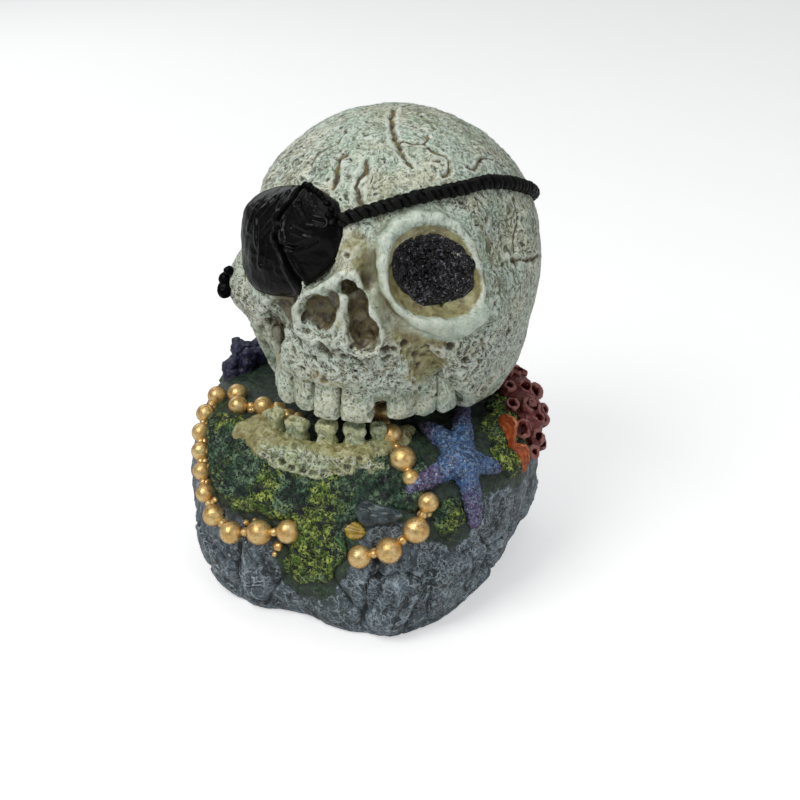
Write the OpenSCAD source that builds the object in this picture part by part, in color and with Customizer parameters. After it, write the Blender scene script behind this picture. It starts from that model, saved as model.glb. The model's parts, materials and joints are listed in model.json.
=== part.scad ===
// Air-operated skull ornament for an aquarium or pond.
// A hollow skull with an eye patch is hinged at the back of a rock. Air led in at the back of
// the rock rises through a tube into the skull, lifts its face and escapes through the mouth.
// Frame: origin at the centre of the footprint, +Z up, the face looks along -Y.
// Left (-X) and right (+X) are as seen from the front. Bearings run anticlockwise from +X.

/* [Rock] */
// Half width of the rock, side to side
rock_half_w = 47.8; // [46:0.1:49]
// Half depth of the rock, front to back
rock_half_d = 43.2; // [42:0.1:44.5]
// Height of the rock deck above the floor
rock_h = 43; // [42:0.1:44]
// Wall of the hollow under the rock
rock_wall = 6; // [4:0.5:8]

/* [Skull] */
// Half width of the cranium
skull_half_w = 35; // [34:0.1:36]
// Half depth of the cranium
skull_half_d = 38; // [37:0.1:39]
// Dome height above the widest line of the cranium
skull_dome = 34.2; // [33:0.1:36]
// Height of the widest line above the floor
skull_z = 79; // [78:0.1:81]
// Wall of the hollow skull
skull_wall = 3.6; // [3:0.1:4.5]

/* [Hinge] */
// Height of the hinge pin above the floor
hinge_z = 47.5; // [47:0.1:48]
// Distance of the hinge pin behind the centre
hinge_y = 37.5; // [37:0.1:38]
// Diameter of the hinge pin
pin_d = 2; // [1.5:0.1:2.4]
// Radial clearance of the pin in the skull lug
pin_gap = 0.05; // [0.03:0.01:0.1]

/* [Air line] */
// Outside diameter of the air inlet stub, a push fit in 4 mm bore hose
inlet_d = 4.6; // [4.4:0.1:5]
// Free length of the stub behind the rock
inlet_len = 9; // [8:0.5:12]
// Diameter of the air way
air_d = 2.6; // [2:0.1:3]
// Height of the inlet above the floor
inlet_z = 14; // [13:0.5:16]
// Height of the top of the riser tube inside the skull
riser_top = 64; // [60:1:68]

/* [Trim] */
// Diameter of a small gilt bead
bead_d = 4.4; // [4:0.1:4.8]
// Diameter of a large gilt bead
bead_big_d = 5.8; // [5.5:0.1:6]
// Thickness of the braided patch cord
cord_d = 3.4; // [3:0.1:3.6]
// Radius of the starfish, centre to arm tip
star_r = 14; // [12:0.5:15]

/* [Hidden] */

centring = [-0.816, -6.938, 0];         // puts the centre of the whole outline on the origin
rock_c = [1.3, 1.0];                    // axis of the rock
skull_x = 4.5;                          // middle plane of skull, hinge and air way
skull_c = [skull_x, 7, skull_z];        // centre of the cranium
bearings = [for (j = [0 : 47]) 360 * j / 48 - 180];     // stations round rock and skull

bone = [0.70, 0.74, 0.66];
slate = [0.25, 0.29, 0.31];
gilt = [0.68, 0.54, 0.36];
patch_black = [0.09, 0.09, 0.1];

// ---- shared helpers
function wrap(angle) = angle - 360 * floor((angle + 180) / 360);
function unit(v) = v / norm(v);
function sum(v, i = 0) = i >= len(v) ? 0 : v[i] + sum(v, i + 1);
function signed_pow(v, power) = sign(v) * pow(abs(v), power);
// smooth bump of height 1 round an angle
function bell(angle, centre, width) = exp(-pow(wrap(angle - centre) / width, 2));
// sum of bumps, rows of height, centre, width
function bells(angle, rows) = sum([for (row = rows) row[0] * bell(angle, row[1], row[2])]);

// closed skin through rings of equal length, capped by one point at each end
module loft(top, rings, bottom) {
    n = len(rings[0]);
    last = 1 + (len(rings) - 1) * n;
    points = concat([top], [for (ring = rings) for (p = ring) p], [bottom]);
    polyhedron(points, concat(
        [for (j = [0 : n - 1]) [0, 1 + (j + 1) % n, 1 + j]],
        [for (i = [0 : len(rings) - 2]) for (j = [0 : n - 1])
            let (here = 1 + i * n, below = here + n, k = (j + 1) % n) each
            [[here + j, here + k, below + k], [here + j, below + k, below + j]]],
        [for (j = [0 : n - 1]) [last + n, last + j, last + (j + 1) % n]]));
}

// raised patch on a surface; at(angle, share, proud) is the point at a share of the outline
// radius, crown(share) the height of the top, under_share the width of the sunk underside
module patch(at, crown, under_share, sunk, steps, rings) {
    angles = [for (j = [0 : steps - 1]) 360 * j / steps];
    loft(at(0, 0, crown(0)), concat(
            [for (i = [1 : rings]) [for (a = angles) at(a, i / rings, crown(i / rings))]],
            [for (i = [rings : -1 : 1]) [for (a = angles) at(a, under_share * i / rings, -sunk)]]),
        at(0, 0, -sunk));
}

// ---- rock surface: slope runs from the deck (0) to the floor (90)
// bumps round the rock: height, bearing, width in degrees
rock_lobes = [      // height as a share of the radius
    [0.08, -66, 17], [-0.065, -100, 13], [0.059, -125, 15],
    [0.02, 35, 20], [0.02, 115, 18], [-0.015, 75, 16]];
rock_fullness = [[4.4, -5, 45], [7, 170, 60], [2, 80, 50], [-2, -95, 40]];

// exponent of the side profile: the larger, the squarer the shoulder
function fullness(bearing) = 5 + bells(bearing, rock_fullness);
// the rock is drawn in at the foot, most of all on the right
function taper(bearing, z) = let (right = bell(bearing, -2, 40))
    1 - (0.114 + 0.239 * right) * exp(-z / (6.8 + 15.1 * right));
// the lobes fade with height to 0.35 of their depth
function lobe_scale(bearing, z) = 1 + bells(bearing, rock_lobes) * (0.35 + 0.65 * exp(-z / 16));
function plan_r(bearing) =
    1 / sqrt(pow(cos(bearing) / rock_half_w, 2) + pow(sin(bearing) / rock_half_d, 2));
function rock_r(bearing, z) = plan_r(bearing)
    * pow(max(0, 1 - pow(z / rock_h, 2)), 1 / fullness(bearing))
    * taper(bearing, z) * lobe_scale(bearing, z);
function rock_xyz(bearing, z, r) =
    [rock_c.x + r * cos(bearing), rock_c.y + r * sin(bearing), z];
// outward normal, taper and lobes left out
function rock_normal(bearing, slope) = let (
    power = fullness(bearing),
    out = power * pow(sin(slope), 2 * (power - 1) / power) / plan_r(bearing),
    up = 2 * cos(slope) / rock_h)
    unit([out * cos(bearing), out * sin(bearing), up]);
function rock_p(bearing, slope, proud = 0) = let (z = rock_h * cos(slope))
    rock_xyz(bearing, z, rock_r(bearing, z)) + proud * rock_normal(bearing, slope);
// point lying `along` mm round the rock and `down` mm down it from a bearing and slope
function on_rock(bearing, slope, along, down, proud) = let (
    mm_round = norm(rock_p(bearing + 2, slope) - rock_p(bearing - 2, slope)) / 4,
    mm_down = norm(rock_p(bearing, slope + 2) - rock_p(bearing, slope - 2)) / 4)
    rock_p(bearing + along / mm_round, max(2, slope + down / mm_down), proud);

// outline(angle) is the radius in mm; angle 90 points up the rock
module rock_patch(bearing, slope, outline, crown, sunk, steps, rings)
    patch(at = function (angle, share, proud) let (r = outline(angle) * share)
            on_rock(bearing, slope, r * cos(angle), -r * sin(angle), proud),
        crown = function (share) crown * sqrt(1 - 0.9 * share * share) - (share < 1 ? 0 : 0.2),
        under_share = 0.96, sunk = sunk, steps = steps, rings = rings);

// stands a part on the rock, its foot sunk, leaning outwards
module stand(bearing, slope, sunk, lean)
    translate(rock_p(bearing, slope, -sunk)) rotate([0, 0, bearing]) rotate([0, lean, 0])
        children();

// ---- skull surface: polar runs from the crown (0) down
skull_drop = 38;    // depth of the full skull form below its widest line
// hollows (-) and rises (+): height, direction from the skull centre, width in degrees
skull_relief = [
    [-7, [18.5, -30.5, 9], 15], [-5, [-18.5, -30.5, 9], 15],    // eye sockets
    [-4, [0, -37, 0.5], 8],                                     // middle of the face
    [2.2, [0, -34, 14], 16],                                    // brow
    [2.5, [27, -24, -9], 12], [2.5, [-27, -24, -9], 12],        // cheekbones
    [-5, [24, -19, -24], 13], [-5, [-24, -19, -24], 13]];       // below the cheekbones
rim_rises = [[7, -90, 46], [2.6, 90, 24]];  // of the lower edge: height, bearing, width

function near(dir, centre, width) =
    exp(-pow(acos(max(-1, min(1, dir * unit(centre)))) / width, 2));
function skull_r(dir) = let (
    power = dir.z > 0 ? 2 : 2.6,
    half_h = dir.z > 0 ? skull_dome : skull_drop,
    flat = pow(dir.x / skull_half_w, 2) + pow(dir.y / skull_half_d, 2))
    pow(pow(flat, power / 2) + pow(abs(dir.z / half_h), power), -1 / power)
    + sum([for (row = skull_relief) row[0] * near(dir, row[1], row[2])]);
function skull_p(bearing, polar, proud = 0) = let (
    dir = [sin(polar) * cos(bearing), sin(polar) * sin(bearing), cos(polar)])
    skull_c + dir * (skull_r(dir) + proud);
function rim_z(bearing) = 49 + bells(bearing, rim_rises);
// polar angle at which the skull meets its rim, found by halving
function rim_polar(bearing, low = 100, high = 155, turns = 14) = let (middle = (low + high) / 2)
    turns == 0 ? middle
    : skull_p(bearing, middle).z > rim_z(bearing) ? rim_polar(bearing, middle, high, turns - 1)
    : rim_polar(bearing, low, middle, turns - 1);

// outline(angle) is the radius in degrees of arc; angle 90 points to the crown
module skull_patch(bearing, polar, outline, crown, sunk, steps, rings)
    patch(at = function (angle, share, proud) let (r = outline(angle) * share)
            skull_p(bearing + r * cos(angle) / sin(polar), polar - r * sin(angle), proud),
        crown = function (share) crown * (1 - 0.35 * share * share),
        under_share = 0.97, sunk = sunk, steps = steps, rings = rings);

// ---- teeth and jaws: an arch opened towards the back
function arch(angle, half_w, depth) =
    [half_w * signed_pow(sin(angle), 0.9), -depth * pow(abs(cos(angle)), 0.6)];
module arch_band(half_w, depth, thick, span, h) linear_extrude(h)
    polygon(concat(
        [for (a = [-span : 8 : span]) arch(a, half_w + thick / 2, depth + thick / 2)],
        [for (a = [span : -8 : -span]) arch(a, half_w - thick / 2, depth - thick / 2)]));
module tooth(w, thick, h) linear_extrude(h)
    polygon([for (a = [0 : 30 : 330])
        [w / 2 * signed_pow(cos(a), 0.55), thick / 2 * signed_pow(sin(a), 0.55)]]);

// ================= sizes of the air way and hinge =================
riser_y = 14;
riser_d = 5;
riser_bore = 3.2;
riser_z = inlet_z + 8;          // foot of the riser in the elbow
elbow_d = 4.6;
elbow_len = 24;                 // from the riser axis back
sleeve_d = 6.4;                 // part of the inlet that sits in the rock
sleeve_front = 34;
sleeve_back = 47.6;

knuckle_d = 5.2;                // also the thickness of bracket and lug
bracket_w = 13.6;
bracket_z = 27;                 // foot of the bracket, inside the rock
arm_w = 3.2;
lug_w = 6.6;

// ================= rock and lower jaw =================
module rock_base() color(slate) difference() {
    loft([rock_c.x, rock_c.y, rock_h],
        concat(
            [for (slope = [1, 6, 14, 24, 34, 44, 54, 64, 73, 82, 90])
                [for (t = bearings) rock_p(t, slope)]],
            // hollow, with the wall 4 mm thicker near its roof
            [for (z = [0, 8, 16, 24, 31])
                [for (t = bearings)
                    rock_xyz(t, z, rock_r(t, z) - rock_wall - (z > 26 ? 4 : 0))]]),
        [rock_c.x, rock_c.y, 33]);
    // ways through for the riser tube and the inlet sleeve
    translate([skull_x, riser_y, 25]) cylinder(d = riser_d, h = 30, $fn = 32);
    translate([skull_x, 30, inlet_z]) rotate([-90, 0, 0]) cylinder(d = sleeve_d, h = 30, $fn = 32);
}

module jaw_at() translate([-2.4, -8.5, 0]) rotate(-3) children();
module lower_jaw() color([0.55, 0.56, 0.42]) jaw_at()
    translate([0, 0, 34]) arch_band(half_w = 14.6, depth = 17.4, thick = 6.6, span = 64, h = 9.4);
module lower_teeth() color(bone) jaw_at()
    for (i = [-2.5 : 2.5]) let (p = arch(21 * i, 14.4, 17.2))
        translate([p.x, p.y, 43]) rotate(17 * i) tooth(w = 4.5, thick = 4, h = 5.3);

// ================= growth on the rock =================
module moss_front() color([0.25, 0.33, 0.2])
    rock_patch(-108, 40, crown = 1.6, sunk = 1.5, steps = 28, rings = 4,
        outline = function (a) 13 + 7 * pow(cos(a), 2) + bells(a, [[5, -75, 18], [-2, -150, 40]]));
module moss_right() color([0.35, 0.42, 0.2]) {
    rock_patch(-47, 43, crown = 1.4, sunk = 1.2, steps = 16, rings = 3,
        outline = function (a) 5 + 0.8 * cos(3 * a));
    rock_patch(-8, 14, crown = 1.6, sunk = 1.2, steps = 16, rings = 3,
        outline = function (a) 5 + cos(3 * a));
}
module moss_rear() color([0.27, 0.34, 0.22])
    rock_patch(142, 34, crown = 1.5, sunk = 1.5, steps = 20, rings = 3,
        outline = function (a) 12 + 2 * cos(3 * a));
// five arms, one pointing down the rock
module starfish() color([0.30, 0.36, 0.47])
    rock_patch(-36, 24, crown = 2.4, sunk = 1.2, steps = 40, rings = 4,
        outline = function (a) star_r * (0.30 + 0.70 * pow(abs(cos(2.5 * (a + 90))), 2.2)));
module slate_chip() color([0.3, 0.36, 0.38])
    rock_patch(-71, 42, crown = 2.2, sunk = 0.5, steps = 12, rings = 2,
        outline = function (a) 6.6 - 2.6 * abs(sin(a)));
module scallop_shell() color([0.75, 0.6, 0.25])
    rock_patch(-78.5, 51.6, crown = 1.6, sunk = 0.4, steps = 14, rings = 2,
        outline = function (a) 2.3 + 0.5 * cos(a));
module leaf() color([0.3, 0.4, 0.2])
    rock_patch(-84.5, 56.5, crown = 1.5, sunk = 0.4, steps = 14, rings = 2,
        outline = function (a) 3.4 - 1.9 * abs(cos(a + 20)));

// bearing, slope, diameter, height, lean
coral_tubes = [
    [29, 15, 5, 7.5, 20], [18, 27, 5, 8, 38], [4, 30, 4.6, 7, 45],
    [24, 41, 4.6, 8, 62], [10, 44, 4.4, 6.5, 68], [41, 26, 4.8, 9, 38]];
module tube_coral() color([0.36, 0.24, 0.22])
    for (row = coral_tubes) let (d = row[2], h = row[3])
        stand(row[0], row[1], sunk = 1.5, lean = row[4]) difference() {
            cylinder(d = d, h = h, $fn = 24);
            translate([0, 0, h - 2.5]) cylinder(d = d * 0.55, h = 3, $fn = 24);
        }

// bearing, slope, size, lean
shells = [[-9, 19, 5.6, 22], [-12, 33, 5.2, 50]];
shell_thick = 1.8;
module bracket_shells() color([0.72, 0.4, 0.22])
    for (row = shells) let (r = row[2] / 2)
        stand(row[0], row[1], sunk = 1.2, lean = row[3])
            rotate([90, 0, 90]) translate([0, 0, -shell_thick / 2]) linear_extrude(shell_thick)
                polygon([for (a = [0 : 15 : 345]) [r * cos(a) * 1.15, 1.6 + r * sin(a)]]);

// five round-ended stems, alternating between two rows
module branch_coral() color([0.28, 0.30, 0.45])
    for (i = [0 : 4]) let (odd = i % 2, h = 7 + i % 3)
        stand(160 + 6 * i, 12 + 4 * odd, sunk = 1, lean = -8 + 12 * odd) {
            cylinder(d = 3.4, h = h, $fn = 20);
            translate([0, 0, h]) sphere(d = 3.4, $fn = 20);
        }

// ================= bead strings: bearing, slope, diameter =================
left_run = [
    [-162.5, 17.3, bead_d], [-157, 26.4, bead_d], [-151.5, 33.8, bead_d],
    [-146, 39.8, bead_d], [-141, 46.2, bead_d], [-135.6, 52.6, bead_d],
    [-128.5, 57.6, bead_d + 0.6], [-120, 60.3, bead_big_d - 0.6],
    [-110.5, 57.5, bead_big_d], [-101, 55.4, bead_big_d - 0.4]];
deck_run = [[-159.3, 9, bead_d + 0.2], [-149.5, 11.6, bead_d + 0.2], [-143.5, 6.4, bead_d + 0.2]];
right_run = [
    [-75.2, 58, bead_big_d - 0.6], [-66.2, 54.8, bead_big_d],
    [-57.6, 47.8, bead_big_d], [-52.4, 38, bead_d + 0.2]];
jaw_run = [
    [-56.5, 27.6, bead_d - 0.6], [-58, 20, bead_big_d],
    [-60, 10, bead_big_d - 0.6], [-60, 2.2, bead_d + 0.4]];

function bead_c(bead) = rock_p(bead[0], bead[1], 0.32 * bead[2]);
module beads(run) for (bead = run) translate(bead_c(bead)) sphere(d = bead[2], $fn = 32);
// a small ball in the middle of each gap between beads
module links(run) for (i = [0 : len(run) - 2]) let (
    from = bead_c(run[i]), step = bead_c(run[i + 1]) - from,
    reach = norm(step) / 2 + (run[i][2] - run[i + 1][2]) / 4)
    translate(from + unit(step) * reach) sphere(d = 1.9, $fn = 24);

module gilt_beads_left() color(gilt) {
    beads(left_run);
    beads(deck_run);
}
module gilt_beads_right() color(gilt) {
    beads(right_run);
    beads(jaw_run);
}
module bead_links() color(gilt) {
    links(left_run);
    links(deck_run);
    links(right_run);
    links(jaw_run);
}

// ================= hinge =================
module at_hinge(x) translate([skull_x, hinge_y, hinge_z]) rotate([0, 90, 0])
    translate([0, 0, x]) children();
module hinge_bracket() color([0.6, 0.6, 0.58]) difference() {
    union() {
        for (x = [-bracket_w / 2, bracket_w / 2 - arm_w]) translate([skull_x + x, 0, 0]) {
            translate([0, hinge_y - knuckle_d / 2, bracket_z])
                cube([arm_w, knuckle_d, hinge_z - bracket_z]);
            translate([0, hinge_y, hinge_z]) rotate([0, 90, 0])
                cylinder(d = knuckle_d, h = arm_w, $fn = 40);
        }
        translate([skull_x - bracket_w / 2, hinge_y - knuckle_d / 2, bracket_z])
            cube([bracket_w, knuckle_d, 12]);
    }
    at_hinge(-10) cylinder(d = pin_d, h = 20, $fn = 40);
}
module hinge_pin() color([0.75, 0.76, 0.78])
    at_hinge(-bracket_w / 2) cylinder(d = pin_d, h = bracket_w, $fn = 40);
module hinge_lug() color(bone) difference() {
    union() {
        at_hinge(-lug_w / 2) cylinder(d = knuckle_d, h = lug_w, $fn = 40);
        translate([skull_x - lug_w / 2, hinge_y - knuckle_d / 2, hinge_z])
            cube([lug_w, knuckle_d, 8]);
    }
    at_hinge(-10) cylinder(d = pin_d + 2 * pin_gap, h = 20, $fn = 40);
}

// ================= air way =================
module air_inlet() color([0.12, 0.13, 0.14])
    translate([skull_x, 0, inlet_z]) rotate([-90, 0, 0]) difference() {
        union() {
            translate([0, 0, sleeve_front])
                cylinder(d = sleeve_d, h = sleeve_back - sleeve_front, $fn = 48);
            translate([0, 0, sleeve_back - 0.1])
                cylinder(d = inlet_d, h = inlet_len + 0.1, $fn = 48);
        }
        translate([0, 0, 30]) cylinder(d = air_d, h = 40, $fn = 48);
        // socket for the end of the elbow
        translate([0, 0, sleeve_front - 1])
            cylinder(d = elbow_d, h = riser_y + elbow_len - sleeve_front + 1, $fn = 48);
    }
module air_elbow() color([0.16, 0.17, 0.18]) translate([skull_x, riser_y, inlet_z]) difference() {
    union() {
        rotate([-90, 0, 0]) cylinder(d = elbow_d, h = elbow_len, $fn = 40);
        sphere(d = elbow_d, $fn = 40);
        cylinder(d = elbow_d, h = 6, $fn = 40);
        translate([0, 0, 5]) cylinder(d = 7, h = 7, $fn = 40);
    }
    rotate([-90, 0, 0]) cylinder(d = air_d, h = elbow_len + 1, $fn = 40);
    cylinder(d = air_d, h = 13, $fn = 40);
    translate([0, 0, riser_z - inlet_z]) cylinder(d = riser_d, h = 7, $fn = 40);
}
module riser_tube() color([0.7, 0.8, 0.82]) translate([skull_x, riser_y, riser_z]) difference() {
    cylinder(d = riser_d, h = riser_top - riser_z, $fn = 40);
    translate([0, 0, -1]) cylinder(d = riser_bore, h = riser_top, $fn = 40);
}

// ================= skull =================
module skull_shell() color(bone) {
    outer = 20;     // rings from crown to rim
    inner = 9;
    loft(skull_p(0, 0),
        concat(
            [for (i = [1 : outer]) [for (t = bearings) skull_p(t, rim_polar(t) * i / outer)]],
            [for (i = [inner : -1 : 1])
                [for (t = bearings) skull_p(t, rim_polar(t) * i / inner, -skull_wall)]]),
        skull_p(0, 0, -skull_wall));
}
// the teeth hang a little higher towards the back
module upper_teeth() color(bone) translate([skull_x, -7.6, 0]) {
    translate([0, 0, 55.5]) arch_band(half_w = 19.6, depth = 17.8, thick = 5.2, span = 78, h = 3.6);
    for (i = [-4.5 : 4.5]) let (p = arch(15.6 * i, 20, 18.2))
        translate([p.x, p.y, 49.8 + 0.16 * abs(i)]) rotate(14.5 * i)
            tooth(w = 5.1, thick = 4.8, h = 6.2);
}
module eye_socket_lining() color([0.1, 0.1, 0.12])
    skull_patch(-58.5, 74.5, crown = 1.2, sunk = 0.8, steps = 20, rings = 3,
        outline = function (a) 12 - 1.5 * pow(sin(a), 2));
module eye_patch() color(patch_black)
    skull_patch(-120, 70, crown = 2.6, sunk = 0.8, steps = 32, rings = 5,
        outline = function (a) 20.5 + bells(a, [[8, 18, 38], [5, -170, 42], [1.5, -40, 25]]));

// the cord leaves the patch at the brow, goes round the back of the head and returns to it
cord_high = 48.5;   // polar angle of the cord where it runs highest
function cord_polar(bearing) = cord_high + (bearing < -45
    ? 10.5 * pow((bearing + 45) / 46, 2)
    : 50 * (1 - exp(-pow(max(0, bearing + 28) / 85, 1.7))));
module patch_cord() color(patch_black) {
    n = 44;         // lengths along the cord
    sides = 8;
    path = [for (i = [0 : n]) let (t = -90 + 296 * i / n) skull_p(t, cord_polar(t), 0.9)];
    loft(path[0],
        [for (i = [0 : n]) let (
            ahead = unit(path[min(n, i + 1)] - path[max(0, i - 1)]),
            out = unit(path[i] - skull_c),
            side = cross(out, ahead))
            [for (j = [0 : sides - 1]) let (a = 360 * j / sides)
                path[i] + cord_d / 2 * (cos(a) * out + sin(a) * side)]],
        path[n]);
}

module put() translate(centring) children();
put() rock_base();
put() moss_front();
put() moss_right();
put() moss_rear();
put() lower_jaw();
put() lower_teeth();
put() gilt_beads_left();
put() gilt_beads_right();
put() bead_links();
put() starfish();
put() tube_coral();
put() bracket_shells();
put() branch_coral();
put() slate_chip();
put() scallop_shell();
put() leaf();
put() hinge_bracket();
put() hinge_pin();
put() air_inlet();
put() air_elbow();
put() riser_tube();
put() skull_shell();
put() upper_teeth();
put() eye_socket_lining();
put() eye_patch();
put() patch_cord();
put() hinge_lug();
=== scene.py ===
# A bubbling ornament: a hollow pirate skull hinged on a decorated rock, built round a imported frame.
# Design frame in mm: +Z is up and the face looks along -Y. Left is -X and right is +X, as seen
# from the front. A bearing is in degrees from +X towards +Y, so the front is at -90.
import json
import math
from itertools import product
import bmesh
import bpy
import numpy as np
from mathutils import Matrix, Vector


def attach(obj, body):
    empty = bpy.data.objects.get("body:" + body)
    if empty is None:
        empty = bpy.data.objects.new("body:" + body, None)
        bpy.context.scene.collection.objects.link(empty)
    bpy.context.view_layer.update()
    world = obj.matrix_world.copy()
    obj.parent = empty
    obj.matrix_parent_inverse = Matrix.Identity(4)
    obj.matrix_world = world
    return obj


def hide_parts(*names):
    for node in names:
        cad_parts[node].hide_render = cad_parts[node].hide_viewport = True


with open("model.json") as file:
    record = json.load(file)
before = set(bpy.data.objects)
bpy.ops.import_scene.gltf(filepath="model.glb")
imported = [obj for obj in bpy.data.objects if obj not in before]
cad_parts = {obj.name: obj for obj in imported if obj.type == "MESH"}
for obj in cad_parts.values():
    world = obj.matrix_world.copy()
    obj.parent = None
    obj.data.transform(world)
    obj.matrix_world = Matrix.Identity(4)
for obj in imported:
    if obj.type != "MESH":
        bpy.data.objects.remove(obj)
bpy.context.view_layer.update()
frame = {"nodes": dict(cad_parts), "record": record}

MM = .001
HINGE_PIN = [4.5, 37.5, 47.5]   # the hinge pin in the design frame
joints = {joint["name"]: joint for joint in frame["record"]["behaviour"]["joints"]}
OFFSET = np.array(joints["skull_lift"]["pos_m"]) * 1000.0 - np.array(HINGE_PIN)
FINE = .3      # voxel size of the small pieces
CORNERS = list(product((0, 1), repeat=3))
rad = np.radians


# ------------------------------------------------------------------ curves and noise
def unit(vectors):
    vectors = np.asarray(vectors, float)
    return vectors / np.linalg.norm(vectors, axis=-1, keepdims=True)


def rise(start, end, x):
    """Smooth step from 0 at start to 1 at end."""
    part = np.clip((x - start) / (end - start), 0, 1)
    return part * part * (3 - 2 * part)


def hump(x, width):
    return np.exp(-(x / width) ** 2)


def wrap(degrees):
    return (degrees + 180) % 360 - 180


def bell(bearing, middle, width):
    return hump(wrap(bearing - middle), width)


def hashed(ix, iy, iz, seed):
    """Repeatable value in 0..1 for each lattice point."""
    bits = (ix * 374761393 + iy * 668265263 + iz * 2147483647 + seed * 1274126177) & 0xFFFFFFFF
    bits = ((bits ^ (bits >> 13)) * 1274126177) & 0xFFFFFFFF
    bits = ((bits ^ (bits >> 16)) * 2246822519) & 0xFFFFFFFF
    return ((bits ^ (bits >> 15)) & 0xFFFFFF) / float(0xFFFFFF)


def corner_weight(part, corner):
    """Share of one cell corner at the place part (0..1 on each axis) in the cell."""
    x, y, z = [part[..., k] if corner[k] else 1 - part[..., k] for k in range(3)]
    return x * y * z


def noise(points, scale, seed=0):
    """Smooth value noise in -1..1, features about scale mm across."""
    place = points / scale
    cell = np.floor(place).astype(np.int64)
    part = place - cell
    part = part * part * part * (part * (part * 6 - 15) + 10)
    total = 0.0
    for corner in CORNERS:
        x, y, z = [cell[..., k] + corner[k] for k in range(3)]
        total = total + corner_weight(part, corner) * hashed(x, y, z, seed)
    return total * 2 - 1


def wobble(points, scale, seed):
    """Three noises as a vector."""
    return np.stack([noise(points, scale, seed + k) for k in (1, 2, 3)], -1)


def layered(points, scale, octaves, seed, ridged=False):
    """Octaves of noise, each half the size and strength of the last."""
    total, strength, most = 0.0, 1.0, 0.0
    for octave in range(octaves):
        value = noise(points, scale / 2 ** octave, seed + 17 * octave)
        if ridged:
            value = 1 - 2 * np.abs(value)
        total = total + strength * value
        most += strength
        strength *= .5
    return total / most


def cells(points, scale, seed):
    """Distances to the nearest and second nearest cell point, in cells, and the nearest's value."""
    place = points / scale
    home = np.floor(place).astype(np.int64)
    first = np.full(place.shape[:-1], 9.0)
    second = first.copy()
    value = np.zeros(place.shape[:-1])
    for step in product((-1, 0, 1), repeat=3):
        cell = home + np.array(step)
        x, y, z = cell[..., 0], cell[..., 1], cell[..., 2]
        shift = np.stack([hashed(x, y, z, seed + k) for k in (1, 2, 3)], -1)
        distance = np.linalg.norm(cell + .5 + (shift - .5) * .9 - place, axis=-1)
        nearer = distance < first
        second = np.where(nearer, first, np.minimum(second, distance))
        value = np.where(nearer, shift[..., 0], value)
        first = np.where(nearer, distance, first)
    return first, second, value


# ------------------------------------------------------------------ distance field modelling
def join(a, b, blend):
    """Union of two distance fields, rounded over blend mm."""
    share = np.clip(.5 + .5 * (b - a) / blend, 0, 1)
    return b + (a - b) * share - blend * share * (1 - share)


def vec32(values):
    return np.array(values, np.float32)


class Clay:
    """A distance field, negative inside, on voxels step mm apart in the design frame."""
    def __init__(self, low, high, step):
        self.step = step
        self.low = np.array(low, float)
        count = np.ceil((np.array(high, float) - self.low) / step).astype(int) + 1
        axes = [self.low[k] + step * np.arange(count[k]) for k in range(3)]
        self.points = np.stack(np.meshgrid(*axes, indexing="ij"), -1).astype(np.float32)
        self.field = None

    def part(self, field=None):
        """A separate field on the same voxels."""
        other = object.__new__(Clay)
        other.step, other.low, other.points, other.field = self.step, self.low, self.points, field
        return other

    def add(self, shape, blend=0):
        self.field = shape if self.field is None else join(self.field, shape, blend)

    def cut(self, shape, blend):
        self.field = -join(-self.field, shape, blend)

    def ball(self, center, radius):
        return np.linalg.norm(self.points - vec32(center), axis=-1) - radius

    def ellipsoid(self, center, radii, axes=None):
        offset = self.points - vec32(center)
        if axes is not None:
            offset = offset @ vec32(axes)
        radii = vec32(radii)
        near = np.linalg.norm(offset / radii, axis=-1)
        far = np.linalg.norm(offset / (radii * radii), axis=-1)
        return near * (near - 1) / np.maximum(far, 1e-6)

    def rod(self, start, end, radius, end_radius=None):
        end_radius = radius if end_radius is None else end_radius
        start = vec32(start)
        run = vec32(end) - start
        along = np.clip(((self.points - start) @ run) / max(float(run @ run), 1e-9), 0, 1)
        distance = np.linalg.norm(self.points - start - along[..., None] * run, axis=-1)
        return distance - (radius + (end_radius - radius) * along)

    def chain(self, points, radii, blend=.6):
        links = self.part()
        for k in range(len(points) - 1):
            links.add(self.rod(points[k], points[k + 1], radii[k], radii[k + 1]), blend)
        return links.field

    def box(self, center, half, rounding, turn=0.0, tilt=0.0, flare=0.0):
        offset = self.points - vec32(center)
        cos, sin = math.cos(turn), math.sin(turn)
        x = offset[..., 0] * cos + offset[..., 1] * sin
        y = -offset[..., 0] * sin + offset[..., 1] * cos
        z = offset[..., 2]
        y = y - tilt * z
        x = x / (1 + flare * z / half[2])
        past = np.stack([np.abs(v) - h + rounding for v, h in zip((x, y, z), half)], -1)
        outside = np.linalg.norm(np.maximum(past, 0), axis=-1)
        return outside + np.minimum(past.max(-1), 0) - rounding

    def sample(self, values, places):
        place = np.clip((places - self.low) / self.step, 0, np.array(values.shape) - 1.001)
        cell = np.floor(place).astype(int)
        part = place - cell
        total = 0
        for corner in CORNERS:
            x, y, z = (cell + np.array(corner)).T
            total = total + corner_weight(part, corner) * values[x, y, z]
        return total


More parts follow.
